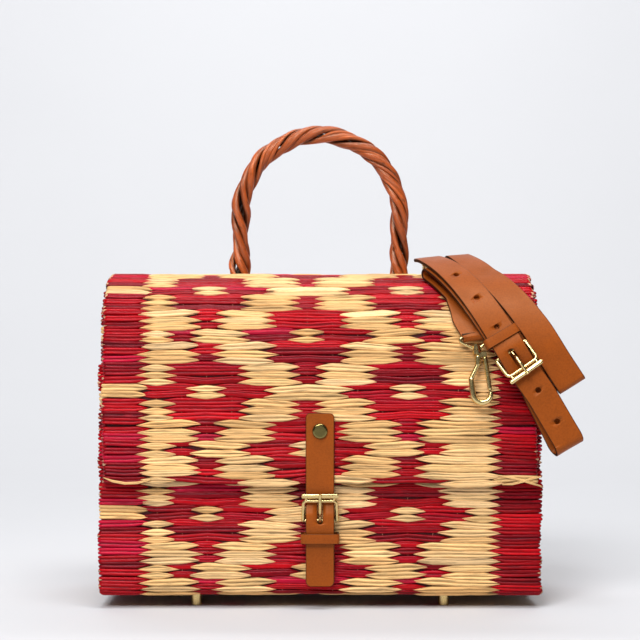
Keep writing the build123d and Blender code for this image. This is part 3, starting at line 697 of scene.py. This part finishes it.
basket_inner = Mat(basket_map)
inner_rows = np.concatenate([rear_rows, front_rows])
weave(basket_inner, inner_rows, BASKET_DIAMOND, FRONT_COLUMNS, -1, ("coarse", "coarse"), basket_edges, basket_hem)
basket_inner.core_sheet(-152, 152, basket_start + 1, 173, 8, 150)
basket_inner.build("basket_weave_inside", ["basket_mat"])

# side panels, between front and back
PANEL_RADIUS, PANEL_EDGE = 54.5, 57.0


def panel_front(z):
    """How far forward a side panel reaches at a height."""
    if z <= SHOULDER_Z:
        return -PANEL_EDGE
    rise = min(z - SHOULDER_Z, PANEL_RADIUS - 0.01)
    return max(-PANEL_EDGE, SHOULDER_Y - sqrt(PANEL_RADIUS ** 2 - rise ** 2))


def side_edges(t):
    return panel_front(t) + 0.9, PANEL_EDGE - 0.6


def side_hem(side, t, i):
    return i % 16 not in (3, 4)


side_rows = np.arange(16.5, 230.0, PICK)
for side, sign, diamond in (("left", -1, 67.3), ("right", 1, 64.9)):
    def side_map(x, t, h, sign=sign):
        return np.stack([sign * (HALF_WIDTH + h), x, t], -1)

    outside = Mat(side_map)
    weave(outside, side_rows, diamond, SIDE_COLUMNS, 1, ("plain", "plain"), side_edges, side_hem)
    outside.threads(SIDE_COLUMNS, 14.5, 226.0)
    outside.build(f"side_weave_{side}", [f"side_panel_{side}"], flip=sign > 0)
    inside = Mat(side_map)
    weave(inside, side_rows, diamond, SIDE_COLUMNS, -1, ("coarse", "coarse"), side_edges, side_hem)
    inside.core_sheet(-55, 55, 14.5, 204.0, 6, 20)
    for low in np.arange(204.0, 230.0, 3.2):
        inside.core_sheet(panel_front(low + 3.2) + 0.8, 55, low, low + 3.2, 6, 2)
    inside.build(f"side_inside_{side}", [f"side_panel_{side}"], flip=sign > 0)


# ------------------------------------------------------------------ leather bands

def band_section(width, thick):
    """A flat leather section with rounded edges: across, out, how much it is edge."""
    a, b, r = width / 2, thick / 2, min(0.75, thick * 0.32)
    flats = np.array([-1, -0.92, -0.6, 0, 0.6, 0.92, 1])

    def corner(across, out, angles):
        for angle in angles:
            edge = 0.55 if abs(angle) in (60, 120) else 1.0
            turn = radians(angle)
            yield across * (a - r) + r * cos(turn), out * (b - r) + r * sin(turn), edge

    return np.array([
        *((f * (a - r), b - 0.10 * f * f, 0.0) for f in flats),
        *corner(1, 1, (60, 30, 0)),
        (a, 0.0, 1.0),
        *corner(1, -1, (0, -30, -60)),
        *((f * (a - r), -b, 0.0) for f in flats[::-1]),
        *corner(-1, -1, (-120, -150, 180)),
        (-a, 0.0, 1.0),
        *corner(-1, 1, (180, 150, 120)),
    ])


def band(name, node_name, body, centres, sides, width, thick,
         corner=(0, 0), closed=False, holes=(), hole_depth=4.0, widths=None):
    """A leather band swept along centres, its width along sides. corner rounds its two ends."""
    centres, sides = np.asarray(centres, float), unit(sides)
    if closed:
        ahead = np.roll(centres, -1, 0) - np.roll(centres, 1, 0)
    else:
        ahead = np.gradient(centres, axis=0)
    ahead = unit(ahead)
    out = unit(np.cross(sides, ahead))
    side = np.cross(ahead, out)
    section = band_section(width, thick)
    run = run_along(centres)
    scale = np.ones(len(centres))
    for radius, far in ((corner[0], run), (corner[1], run[-1] - run)):
        if radius:
            near = far < radius
            cut = radius - np.sqrt(np.maximum(0, radius ** 2 - (radius - far[near]) ** 2))
            scale[near] = 1 - 2 * cut / width
    if widths is not None:
        scale = scale * widths
    verts = (
        centres[:, None, :]
        + side[:, None, :] * (section[None, :, 0] * scale[:, None])[:, :, None]
        + out[:, None, :] * section[None, :, 1][:, :, None]
    )
    n, m = verts.shape[:2]
    grid = np.arange(n * m).reshape(n, m)
    edge = np.tile(section[:, 2], (n, 1))
    a = grid if closed else grid[:-1]
    b = np.roll(grid, -1, 0) if closed else grid[1:]
    quads = np.stack([a, b, np.roll(b, -1, 1), np.roll(a, -1, 1)], -1).reshape(-1, 4).tolist()
    if not closed:
        quads += [grid[0].tolist(), grid[-1][::-1].tolist()]
        edge[[0, -1]] = 1
    uv = np.stack(np.broadcast_arrays(run[:, None], section[None, :, 0]), -1).reshape(-1, 2)
    piece = make_object(name, verts.reshape(-1, 3), quads, [tan_leather], body,
                        uvs=uv, edge=edge.ravel())
    if holes:
        cut_holes(piece, holes, hole_depth)
    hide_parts(node_name)


def cut_holes(piece, holes, depth):
    """Punches round or long holes: (centre, axis, radius, long way, half length)."""
    verts, faces = [], []
    sides = 20
    for centre, axis, radius, way, half in holes:
        axis, way = unit(axis), unit(way)
        over = np.cross(axis, way)
        ring = []
        for k in range(sides):
            a = 2 * pi * k / sides
            push = half if cos(a) > 0 else -half
            ring.append(np.asarray(centre) + way * (radius * cos(a) + push) + over * radius * sin(a))
        base = len(verts)
        for sign in (-1, 1):
            verts += [p + axis * sign * depth for p in ring]
        for k in range(sides):
            step = (k + 1) % sides
            faces.append([base + k, base + step, base + sides + step, base + sides + k])
        faces.append([base + k for k in range(sides - 1, -1, -1)])
        faces.append([base + sides + k for k in range(sides)])
    mesh = bpy.data.meshes.new("cutter")
    mesh.from_pydata((np.array(verts) * MM).tolist(), [], faces)
    # the cutter's walls carry edge 1, so the hole walls are painted dark: painted shade inside the holes
    data = mesh.attributes.new(name="edge", type="FLOAT", domain="POINT")
    data.data.foreach_set("value", np.ones(len(verts), np.float32))
    cutter = bpy.data.objects.new("cutter", mesh)
    bpy.context.scene.collection.objects.link(cutter)
    modifier = piece.modifiers.new("holes", "BOOLEAN")
    modifier.operation = "DIFFERENCE"
    modifier.solver = "EXACT"
    modifier.object = cutter
    graph = bpy.context.evaluated_depsgraph_get()
    cut = bpy.data.meshes.new_from_object(piece.evaluated_get(graph))
    piece.modifiers.clear()
    piece.data = cut
    bpy.data.objects.remove(cutter)


def ring_path(centre, across, out, half_across, half_out, radius, per=5):
    """A rounded rectangle round a centre."""
    points = []
    for sx, sy, start in ((1, 1, 0), (-1, 1, 90), (-1, -1, 180), (1, -1, 270)):
        for k in range(per + 1):
            a = radians(start + 90 * k / per)
            x = sx * (half_across - radius) + radius * cos(a)
            y = sy * (half_out - radius) + radius * sin(a)
            points.append(centre + across * x + out * y)
    dense = []
    for p, q in zip(points, points[1:] + points[:1]):
        n = max(1, int(np.linalg.norm(q - p) / 2.5))
        dense += [p + (q - p) * k / n for k in range(n)]
    return np.array(dense)


def bar_wrap(centre, first, second, radius, start, stop, count):
    """Places round a bar, from the first direction towards the second, between angles in degrees."""
    angles = np.linspace(radians(start), radians(stop), count)
    return [centre + first * radius * cos(a) + second * radius * sin(a) for a in angles]


# ------------------------------------------------------------------ handle

HALF_SPAN, LEG_LOW, LEG_HIGH = 58.5, 224.0, 281.0
leg_run, arch_run = LEG_HIGH - LEG_LOW, pi * HALF_SPAN
whole_run = 2 * leg_run + arch_run
# how far the rods spread from the middle line along the handle, wide at its foot and pinched above
SPREAD_AT = [0, 16, 22, 36, 58, 84, 240, 262, 276, 300]
SPREAD_BY = [1.35, 1.35, 1.2, 0.74, 1.2, 1.0, 1.0, 0.9, 1.15, 1.2]


def handle_frame(run):
    """Middle line of the handle and its outward way."""
    if run < leg_run:
        return np.array([-HALF_SPAN, 0, LEG_LOW + run]), np.array([-1.0, 0, 0])
    if run > leg_run + arch_run:
        return np.array([HALF_SPAN, 0, LEG_HIGH - (run - leg_run - arch_run)]), np.array([1.0, 0, 0])
    bend = (run - leg_run) / HALF_SPAN
    out = np.array([-cos(bend), 0, sin(bend)])
    return np.array([0, 0, LEG_HIGH]) + out * HALF_SPAN, out


def rod(name, turns, offset, size, tone, start=0.0, stop=whole_run, pitch=72.0, nodes=()):
    """A willow rod twisted round the handle's middle line, starting a share of a turn round it."""
    runs = np.linspace(start, stop, max(12, int((stop - start) / 2.2)))
    phase = 2 * pi * turns
    seed = phase * 3.3
    middles = []
    for run in runs:
        centre, out = handle_frame(run)
        turn = 2 * pi * run / pitch + phase + 0.22 * sin(run / 27.0 + seed)
        here = offset * (1 + 0.12 * sin(run / 17.0 + seed * 2)) * np.interp(run, SPREAD_AT, SPREAD_BY)
        middles.append(centre + out * here * cos(turn) + np.array([0, 1.0, 0]) * here * sin(turn))
    middles = np.array(middles)
    ahead = unit(np.gradient(middles, axis=0))
    verts, uvs, shaded_tints = [], [], []
    sides = 12
    for i, run in enumerate(runs):
        centre, out = handle_frame(run)
        away = middles[i] - centre
        away = unit(away - ahead[i] * (away @ ahead[i]))
        over = np.cross(ahead[i], away)
        fade = min(1.0, 0.35 + (run - start) / 10.0, 0.35 + (stop - run) / 10.0)
        radius = size * (1 + 0.12 * sin(run / 9.0 + seed) + 0.07 * sin(run / 3.3 + seed * 5)) * fade
        for k in range(sides):
            a = 2 * pi * k / sides
            ridge = 1 + 0.05 * cos(3 * a + seed + run / 30.0)
            verts.append(middles[i] + (away * cos(a) * 0.92 + over * sin(a) * 1.10) * radius * ridge)
            uvs.append((run + seed * 100, k * 1.35 + seed * 40))
            # painted shade: each rod is darkest on its side that faces into the bundle, in the grooves between rods
            shaded_tints.append(np.array(tone) * (0.05 + 1.08 * (0.5 + 0.5 * cos(a)) ** 1.3))
    grid = np.arange(len(runs) * sides).reshape(-1, sides)
    faces = ring_quads(grid).tolist() + [grid[0][::-1].tolist(), grid[-1].tolist()]
    piece = make_object(name, verts, faces, [willow], "lid", uvs=uvs, tint_and_shade=np.array(shaded_tints))
    if nodes:
        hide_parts(*nodes)


rod_tones = (1, 1, 1), (0.86, 0.84, 0.82), (1.08, 1.1, 1.1), (0.94, 0.92, 0.9)
for number, tone in enumerate(rod_tones):
    rod(f"willow_rod_{number + 1}", number / 4, 4.3, 2.55, tone, nodes=[f"handle_rod_{number + 1}"])
# thin rods in the grooves: start of turn, offset, radius, tone, where it starts and stops
for number, values in enumerate((
    (0.37, 5.1, 1.35, (1.15, 1.2, 1.25), 26, 152),
    (0.86, 5.1, 1.25, (0.9, 0.86, 0.8), 120, 268),
    (0.13, 5.3, 1.5, (1.1, 1.15, 1.15), 60, 205),
    (0.62, 5.2, 1.4, (1.25, 1.3, 1.3), 150, 284),
)):
    rod(f"willow_thin_{number + 1}", *values)
# frayed ends at the handle's feet, with their own pitch
for number, values in (
    (3, (0.70, 5.6, 1.35, (1.4, 1.7, 2.1), 8, 33, 90.0)),
    (4, (0.02, 5.2, 1.25, (1.3, 1.5, 1.7), 8, 30, 110.0)),
    (1, (0.62, 5.2, 1.7, (1.35, 1.5, 1.6), 10, 44, 64.0)),
    (2, (0.12, 5.4, 1.4, (1.4, 1.6, 1.9), 238, 274, 120.0)),
):
    rod(f"willow_end_{number}", *values)

# ------------------------------------------------------------------ closure

CLOSURE_WIDTH, CLOSURE_THICK = 20.0, 2.4
BAR_Y, BAR_Z = -65.3, 62.8
TAB_Y, TAB_BOTTOM = -63.5, 22.7
ACROSS = np.array([1.0, 0, 0])


def level_band(name, node_name, body, path, thick, **settings):
    """A band of the closure's width that lies level from side to side."""
    band(name, node_name, body, path, np.tile(ACROSS, (len(path), 1)), CLOSURE_WIDTH, thick, **settings)


# its inner face, from its top on the lid, in under the buckle's frame, over the bar and down
strap_inside = [
    (LID_FRONT, 138.0), (LID_FRONT, LID_BOTTOM - 3), (BAR_Y, BAR_Z + 13), (-68.7, BAR_Z + 4),
    (-68.7, BAR_Z - 4), (-66.5, 44.7), (-65.3, 25.0), (-65.3, 17.0)]
line = rounded(strap_inside, [7.0, 7.0, 7.0, 7.0, 7.0, 3.0], 1.0)
ahead = unit(np.gradient(line, axis=0))
middle = line + np.stack([ahead[:, 1], -ahead[:, 0]], -1) * CLOSURE_THICK / 2
run = run_along(middle)
ends = np.array([0, 0.25, 0.7, 1.3, 2.1, 3.0])
steps = np.concatenate([
    ends, np.arange(4.2, run[-1] - 4.2, 1.5), [run[-1] - 4.0], run[-1] - ends[::-1]])
path = np.stack([np.zeros(len(steps)), np.interp(steps, run, middle[:, 0]), np.interp(steps, run, middle[:, 1])], -1)
prong_slot = ((0, -67.5, BAR_Z + 5.5), (0, 1, 0), 2.1, (0, 0, 1), 5.6)
level_band("closure_strap_leather", "closure_strap", "lid", path, CLOSURE_THICK, corner=(3.2, 3.6), holes=[prong_slot])

# tab under the strap: up the mat and once round the hinge bar, with a second layer behind
tab = [(0, TAB_Y, TAB_BOTTOM), (0, TAB_Y, 32), (0, TAB_Y, 42), (0, TAB_Y + 0.1, 55.5), (0, TAB_Y + 0.4, BAR_Z - 3)]
bar = np.array([0, BAR_Y, BAR_Z])
loop = bar_wrap(bar, np.array([0, 1.0, 0]), np.array([0, 0, 1.0]), 2.3, -20, 270, 22)
loop_slot = ((0, BAR_Y, BAR_Z + 1.6), (0, 0, 1), 2.0, (0, 1, 0), 4.2)
level_band("closure_tab", "closure_chape", "basket", np.array(tab + loop), 1.5, holes=[loop_slot], hole_depth=5.2)
tab_back = [(0, TAB_Y + 0.8, z) for z in np.linspace(TAB_BOTTOM, BAR_Z - 5, 12)]
level_band("closure_tab_back", "closure_chape", "basket", tab_back, 1.3)

ring = ring_path(np.array([0, -66.6, 50.7]), ACROSS, np.array([0, -1.0, 0]), 12.85, 5.4, 2.0)
band("closure_keeper_leather", "closure_keeper", "basket", ring, np.tile([0, 0, 1.0], (len(ring), 1)),
     7.0, 1.35, closed=True)

# ------------------------------------------------------------------ shoulder strap

STRAP_X, STRAP_SLIDE = 137.6, 6.0
STRAP_WIDTH, STRAP_THICK, LAYER_GAP = 21.0, 2.5, 0.3
LEAN, LEAN_START = 0.115, -26.0
slant = radians(30.4)
arc = SHOULDER * pi / 2


def on_lid(across, along, height):
    """Point at a height over the lid, from places across and along the slanted strap."""
    along = along - STRAP_SLIDE
    up = along * cos(slant) + across * sin(slant)
    x = STRAP_X - along * sin(slant) + across * cos(slant) - LEAN * max(0.0, up - LEAN_START)
    if up < 0:
        return np.array([x, LID_FRONT - height, SHOULDER_Z + up])
    if up > arc:
        return np.array([x, SHOULDER_Y + up - arc, LID_TOP + height])
    bend = up / SHOULDER
    reach = SHOULDER + height
    return np.array([x, SHOULDER_Y - reach * cos(bend), SHOULDER_Z + reach * sin(bend)])


def run_of(start, end, spacing=7.0):
    """Evenly spaced places from one (across, along, height) to another, the last left out."""
    n = max(1, round(abs(end[1] - start[1]) / spacing))
    return [tuple(a + (b - a) * k / n for a, b in zip(start, end)) for k in range(n)]


def runs_of(*places):
    """Places on the way through all of these, the last left out."""
    return [place for start, end in zip(places[:-1], places[1:]) for place in run_of(start, end)]


def fold_of(start, end, way):
    """A half turn from one layer to another at the strap's upper (1) or lower (-1) end."""
    r = (end[2] - start[2]) / 2
    places = []
    for k in range(6):
        a = pi * k / 6
        across = start[0] + (end[0] - start[0]) * k / 6
        places.append((across, start[1] + way * abs(r) * sin(a), start[2] + r - r * cos(a)))
    return places


def axes_at(place):
    """Square unit directions at a place: across the strap, up along it and out from the lid."""
    across, along, height = place
    up = unit(on_lid(across, along + 1, height) - on_lid(across, along - 1, height))
    out = unit(on_lid(across, along, height + 1) - on_lid(across, along, height))
    return unit(np.cross(up, out)), up, out


def strap_lines(places, per=4):
    """Middle line of the strap through the places, and the direction of its width."""
    centres = np.array([on_lid(*p) for p in places])
    sides = np.array([on_lid(p[0] + 1, p[1], p[2]) - on_lid(p[0] - 1, p[1], p[2]) for p in places])
    return spread(centres, per), spread(unit(sides), per)


layers = [LAYER_GAP + STRAP_THICK / 2 + n * (STRAP_THICK + LAYER_GAP) for n in range(4)]
OUTER_HEIGHT, BAR_ALONG, BAR_HEIGHT = 12.0, 10.5, 8.9
inner_across = 23.0
rear_bend, rear_place = (inner_across, 44.0, layers[0]), (39.0, 112.0, layers[0])
inner_low, inner_front_low = (inner_across, -27.0, layers[0]), (inner_across, -27.0, layers[2])
inner_high, return_high = (22.5, 92.0, 12.7), (22.5, 92.0, layers[1])
return_middle, return_under = (10.4, 38.0, layers[1]), (8.2, 16.0, layers[1])
return_low, return_tip = (-1.0, -24.0, layers[1]), (-3.0, -60.0, layers[0])
outer_tip, outer_high = (0.0, -60.0, OUTER_HEIGHT), (0.0, 98.0, OUTER_HEIGHT)
over_bar = (0.0, BAR_ALONG, BAR_HEIGHT + 1.3 + 3.6)
places = [
    *runs_of(rear_place, rear_bend, inner_low),
    *fold_of(inner_low, inner_front_low, -1),
    *runs_of(inner_front_low, (24.3, BAR_ALONG, layers[2]), (inner_across, 66.0, layers[2]), inner_high),
    *fold_of(inner_high, return_high, 1),
    *runs_of(return_high, return_middle, return_under, return_low, return_tip),
    *fold_of(return_tip, outer_tip, -1),
    *runs_of(outer_tip, (0, BAR_ALONG - 30, OUTER_HEIGHT), (0, BAR_ALONG - 14, 10.6), over_bar,
             (0, BAR_ALONG + 14, OUTER_HEIGHT), outer_high),
    outer_high,
    (0, 103.0, 11.2),
]
centres, sides = strap_lines(places)

# the strap's far end goes round the rear hook's eye
EYE_WIRE_RADIUS, EYE_LEATHER = 0.95, 1.6
rear_eye_height = EYE_WIRE_RADIUS + 0.1 + EYE_LEATHER + LAYER_GAP + 0.5
rear_up = unit(on_lid(*rear_place) - on_lid(31.0, 78.0, layers[0]))
rear_out = np.array([0.0, 0, 1])
rear_side = np.cross(rear_up, rear_out)
rear_eye = on_lid(*rear_place) + rear_up * 1.9 + rear_out * (rear_eye_height - layers[0])
wrap = bar_wrap(rear_eye, rear_up, rear_out, 1.9, -250, -90, 14)
wrap_side = rear_side * (1 if rear_side @ sides[0] > 0 else -1)
centres = np.vstack([wrap, centres[2:]])
sides = np.vstack([np.tile(wrap_side, (len(wrap), 1)), sides[2:]])

# punched holes, the one under the buckle's prong drawn out to a slot
holes = []
for step in (-2, -1, 0, 1, 2, 3):
    place = (0, BAR_ALONG - 5.5 + step * (21.5 if step > 0 else 25.0), OUTER_HEIGHT)
    _, up, out = axes_at(place)
    holes.append((on_lid(*place), out, 2.3 if step == 0 else 2.0, up, 5.8 if step == 0 else 0.0))
band("strap_long_leather", "strap_long", "lid", centres, sides, STRAP_WIDTH, STRAP_THICK, corner=(0, 2.5), holes=holes)

# short part, from the buckle up, over the top fold and down to the front hook's eye
short_across, short_height = -1.3, 9.1
short_high, short_back = (short_across, 88.0, short_height), (short_across, 88.0, layers[0])
short_end = (-8.4, 49, layers[0])
short_places = [
    *runs_of((short_across, BAR_ALONG + 2.0, BAR_HEIGHT), (short_across, BAR_ALONG + 14, short_height), short_high),
    *fold_of(short_high, short_back, 1),
    *runs_of(short_back, (-2.9, 62, layers[0]), short_end),
    short_end,
    (-11.9, 42, 2.6),
    (-14.2, 34.2, 3.9),
]
centres, sides = strap_lines(short_places)
eye_centre = on_lid(-15.0, 30.5, 4.7)
lean, dip = radians(7.0), radians(7.0)
eye_side = np.array([cos(lean), 0, sin(lean)])
hook_down = np.array([sin(lean) * cos(dip), -sin(dip), -cos(lean) * cos(dip)])
eye_out = np.cross(eye_side, -hook_down)
bar_side, bar_up, bar_out = axes_at((0, BAR_ALONG - 6, OUTER_HEIGHT))
bar_centre = on_lid(0, BAR_ALONG, BAR_HEIGHT)
first = bar_wrap(bar_centre, -bar_up, bar_out, 2.3, -215, 85, 20)
first_sides = np.tile(bar_side * (-1 if sides[0] @ bar_side < 0 else 1), (len(first), 1))
tail = bar_wrap(eye_centre, hook_down, eye_out, 1.95, 95, -215, 18)
tail_sides = np.tile(eye_side * (-1 if sides[-1] @ eye_side < 0 else 1), (len(tail), 1))
# two narrow folds close round the hinge bar, with the prong's root between them
for number, shift in enumerate((-5.9, 5.9)):
    path = np.vstack([first, centres[6:11]]) + bar_side * shift
    band(f"strap_short_fold_{number + 1}", "strap_short", "lid", path, np.vstack([first_sides, sides[6:11]]), 6.8, 2.2)
centres = np.vstack([centres[6:], tail])
sides = np.vstack([sides[6:], tail_sides])
narrow = 0.84
taper = 6
widths = np.concatenate([
    np.ones(len(centres) - len(tail) - taper), np.linspace(1, narrow, taper), np.full(len(tail), narrow)])
band("strap_short_leather", "strap_short", "lid", centres, sides, STRAP_WIDTH, 2.3, widths=widths)

# keeper round the outer run and the short part under it
low, high = short_height - STRAP_THICK / 2 - 0.75, OUTER_HEIGHT + STRAP_THICK / 2 + 1.15
left, right = short_across - STRAP_WIDTH / 2 - 0.5, STRAP_WIDTH / 2 + 0.6
keeper = ((left + right) / 2, 20.5, (low + high) / 2)
keeper_side, keeper_up, keeper_out = axes_at(keeper)
ring = ring_path(on_lid(*keeper), keeper_side, keeper_out, (right - left) / 2 + 0.6, (high - low) / 2 + 0.6, 1.6)
band("strap_keeper_leather", "strap_keeper", "lid", ring, np.tile(keeper_up, (len(ring), 1)), 7.0, 1.25, closed=True)


# ------------------------------------------------------------------ cast brass

def tube(name, points, radii, body, closed=False, sides=14):
    """A cast round bar along points with a radius at each."""
    points, radii = np.asarray(points, float), np.asarray(radii, float)
    if closed:
        ahead = np.roll(points, -1, 0) - np.roll(points, 1, 0)
    else:
        both = spread(np.column_stack([points, radii]), 5)
        points, radii = both[:, :3], both[:, 3]
        ahead = np.gradient(points, axis=0)
    ahead = unit(ahead)
    across = np.cross(points[2] - points[0], points[len(points) // 2] - points[0])
    if np.linalg.norm(across) < 1e-3:
        # a straight bar may have its seam on any side
        across = np.cross(points[-1] - points[0], (0.1, 1.0, 0.3))
    over = unit(np.cross(ahead, unit(across)))
    flat = np.cross(over, ahead)
    a = 2 * pi * np.arange(sides) / sides
    away = over[:, None, :] * np.cos(a)[None, :, None] + flat[:, None, :] * np.sin(a)[None, :, None]
    verts = points[:, None, :] + radii[:, None, None] * away
    n = len(points)
    grid = np.arange(n * sides).reshape(n, sides)
    p = grid if closed else grid[:-1]
    q = np.roll(grid, -1, 0) if closed else grid[1:]
    quads = np.stack([p, q, np.roll(q, -1, 1), np.roll(p, -1, 1)], -1).reshape(-1, 4).tolist()
    if not closed:
        quads += [grid[0].tolist(), grid[-1][::-1].tolist()]
    make_object(name, verts.reshape(-1, 3), quads, [brass], body)


FRAME_LENGTH, FRAME_SIDE, FRAME_GAP = 20.4, 2.4, 0.35
NOSE_HEIGHT, NOSE_SLOT = 3.4, 0.9
# outline of the nose's section, forward and out, and how it is rounded off towards its ends
NOSE_SECTION = (
    (-1.15, -1.2), (-1.6, -0.75), (-1.7, 0.0), (-1.6, 0.75), (-1.15, 1.2), (-0.4, 1.28), (0.4, 1.28),
    (1.15, 1.2), (1.6, 0.75), (1.7, 0.0), (1.6, -0.75), (1.15, -1.2), (0.4, -1.25), (-0.4, -1.25))
NOSE_ENDS = ((0.0, 0.72), (0.25, 0.9), (0.8, 1.0))


def buckle_parts(name, origin, side, out, width):
    """A cast buckle: a rounded loop with a hinge bar at its root and a flat nose beyond it."""
    origin, side, out = np.asarray(origin, float), unit(side), unit(out)
    ahead = unit(np.cross(out, side))

    def put(x, y, z=0.0):
        return origin + side * x + ahead * y + out * z

    half = width / 2 + FRAME_GAP + FRAME_SIDE / 2
    tip = FRAME_LENGTH - NOSE_HEIGHT - NOSE_SLOT - FRAME_SIDE / 2
    loop = rounded([(-half, 0), (-half, tip), (half, tip), (half, 0)], [2.6, 2.6], 0.8)
    size = np.interp(np.linspace(0, 1, len(loop)), [0, 0.06, 0.14, 0.86, 0.94, 1], [1.55, 1.5, 1.2, 1.2, 1.5, 1.55])
    tube(f"{name}_loop", [put(*p) for p in loop], size, name)
    size = [1.1, 1.45, 1.5, 1.5, 1.5, 1.5, 1.5, 1.45, 1.1]
    tube(f"{name}_bar", [put(x, 0) for x in np.linspace(-half - 0.9, half + 0.9, len(size))], size, name)
    for number, x in enumerate((-half + 1.9, half - 1.9)):
        neck = [put(x, y) for y in np.linspace(tip, FRAME_LENGTH - NOSE_HEIGHT / 2, 4)]
        tube(f"{name}_neck_{number + 1}", neck, np.ones(4), name)
    edge = half + FRAME_SIDE / 2
    stations = [(-edge + inset, size) for inset, size in NOSE_ENDS] + [(0, 1.0)]
    stations += [(edge - inset, size) for inset, size in NOSE_ENDS[::-1]]
    middle = FRAME_LENGTH - NOSE_HEIGHT / 2
    verts = np.array([[put(x, middle + y * size, z * size) for x, size in stations] for y, z in NOSE_SECTION])
    n, m = verts.shape[:2]
    grid = np.arange(n * m).reshape(n, m)
    after = np.roll(grid, -1, 0)
    quads = np.stack([grid[:, :-1], grid[:, 1:], after[:, 1:], after[:, :-1]], -1).reshape(-1, 4).tolist()
    quads += [grid[:, 0].tolist()[::-1], grid[:, -1].tolist()]
    nose = make_object(f"{name}_nose", verts.reshape(-1, 3), quads, [brass], name)
    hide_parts(f"{name}_frame")


def hook_parts(name, origin, x_dir, y_dir):
    """The hook's cast bend, its gate's lever and the eye ring, from the eye's centre down the hook."""
    def put(x, y):
        return origin + x_dir * x + y_dir * y

    bend = rounded(
        [(0.2, -13.4), (-0.8, -20.2), (-6.6, -29), (-6.6, -46.3), (6.0, -46.3), (5.65, -40.4)],
        [7, 5, 6.1, 5.9], 1.6)
    size = np.interp(np.linspace(0, 1, len(bend)), [0, 0.06, 0.2, 0.45, 0.7, 0.9, 1],
                     [2.3, 1.9, 1.75, 2.0, 2.1, 1.9, 1.5])
    tube(f"{name}_snap_casting", [put(*p) for p in bend[::2]], size[::2], f"{name}_hook")
    lever = [(4.8, -14.6), (4.85, -16), (4.95, -20), (5.1, -27), (5.25, -33), (5.35, -38.2)]
    tube(f"{name}_snap_lever", [put(*p) for p in lever], [1.2, 1.6, 1.62, 1.6, 1.58, 1.4], f"{name}_gate")
    ring = rounded(
        [(0, 0), (10.55, 0), (10.55, -2.6), (2.5, -8.2), (-2.5, -8.2), (-10.55, -2.6), (-10.55, 0), (0, 0)],
        [1.5] * 6, 0.8)
    tube(f"{name}_snap_ring", [put(*p) for p in ring[:-1]], np.full(len(ring) - 1, 1.08), "lid", closed=True, sides=12)


hook_parts("front", eye_centre, eye_side, -hook_down)
rear_ahead = rear_up * cos(radians(3.0)) + rear_out * sin(radians(3.0))
hook_parts("rear", rear_eye, -rear_side, -rear_ahead)

tilt = radians(19.0)
buckle_parts("closure_buckle", bar, ACROSS, (0, -cos(tilt), -sin(tilt)), CLOSURE_WIDTH)
tilt = radians(22.0)
buckle_parts("strap_buckle", bar_centre, -bar_side, bar_out * cos(tilt) + bar_up * sin(tilt), STRAP_WIDTH)

# metal kept as the CAD shapes it
for name in (
    "closure_rivet", "closure_rivet_washer", "closure_buckle_prong", "chape_rivets", "strap_buckle_prong",
    "front_snap_eye", "front_snap_hook", "front_snap_gate", "rear_snap_eye", "rear_snap_hook", "rear_snap_gate",
    "foot_front_left", "foot_front_right", "foot_back_left", "foot_back_right", "foot_washers",
):
    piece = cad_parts[name]
    piece.data.materials.clear()
    # the closure's rivet takes the darker brass of its painted dark reflection
    piece.data.materials.append(dark_reflection_brass if name == "closure_rivet" else brass)


# ------------------------------------------------------------------ stage, light and camera, in metres

def stage_sweep():
    """A pale floor that curves up into a backdrop."""
    outline = rounded([(-3.0, 0.0), (2.2, 0.0), (2.2, 4.0)], [1.4], 0.06)
    verts = [(x, y, z) for y, z in outline for x in (-5.0, 5.0)]
    faces = [(i, i + 1, i + 3, i + 2) for i in range(0, len(verts) - 2, 2)]
    mesh = bpy.data.meshes.new("floor")
    mesh.from_pydata(verts, [], faces)
    mesh.polygons.foreach_set("use_smooth", np.ones(len(mesh.polygons), bool))
    paper, tree, shader = material("paper_sweep")
    cloud = noise(tree, position(tree), 3.0, 2.0)
    colour = ramp(tree, cloud, [(0.3, (0.60, 0.605, 0.625)), (0.7, (0.61, 0.615, 0.635))])
    tree.links.new(colour, shader.inputs["Base Color"])
    shader.inputs["Roughness"].default_value = 0.9
    mesh.materials.append(paper)
    floor = bpy.data.objects.new("floor", mesh)
    bpy.context.scene.collection.objects.link(floor)


def area(name, place, aim, size, power):
    """A rectangular lamp at a place, turned to its aim."""
    light = bpy.data.lights.new(name, "AREA")
    light.shape = "RECTANGLE"
    light.size, light.size_y = size
    light.energy = power
    lamp = bpy.data.objects.new(name, light)
    lamp.location = place
    lamp.rotation_euler = (Vector(aim) - Vector(place)).to_track_quat("-Z", "Y").to_euler()
    bpy.context.scene.collection.objects.link(lamp)


stage_sweep()
area("top_front", (0.15, -0.75, 2.0), (0, -0.05, 0.15), (1.2, 0.8), 30)
area("front", (-0.6, -1.8, 1.65), (0, 0, 0.15), (1.1, 0.8), 47)
area("backdrop", (0.0, 0.9, 2.3), (0, 2.2, 0.9), (3.0, 0.6), 44)

world = bpy.data.worlds.new("studio")
bpy.context.scene.world = world
world.use_nodes = True
background = world.node_tree.nodes["Background"]
background.inputs["Color"].default_value = (0.93, 0.95, 1.0, 1)
background.inputs["Strength"].default_value = 0.09
bpy.context.scene.view_settings.view_transform = "Standard"

# square on to the front, with the lid's front face 0.446 m across the view
CAMERA_DISTANCE, CAMERA_HEIGHT, VIEW_WIDTH = 1.15, 0.2029, 0.446
camera = bpy.data.cameras.new("camera")
camera.sensor_width = 36.0
camera.lens = camera.sensor_width * CAMERA_DISTANCE / VIEW_WIDTH
view = bpy.data.objects.new("camera", camera)
view.location = (0.0, LID_FRONT * MM - CAMERA_DISTANCE, CAMERA_HEIGHT)
view.rotation_euler = (radians(90), 0, 0)
bpy.context.scene.collection.objects.link(view)
bpy.context.scene.camera = view

bpy.context.view_layer.update()
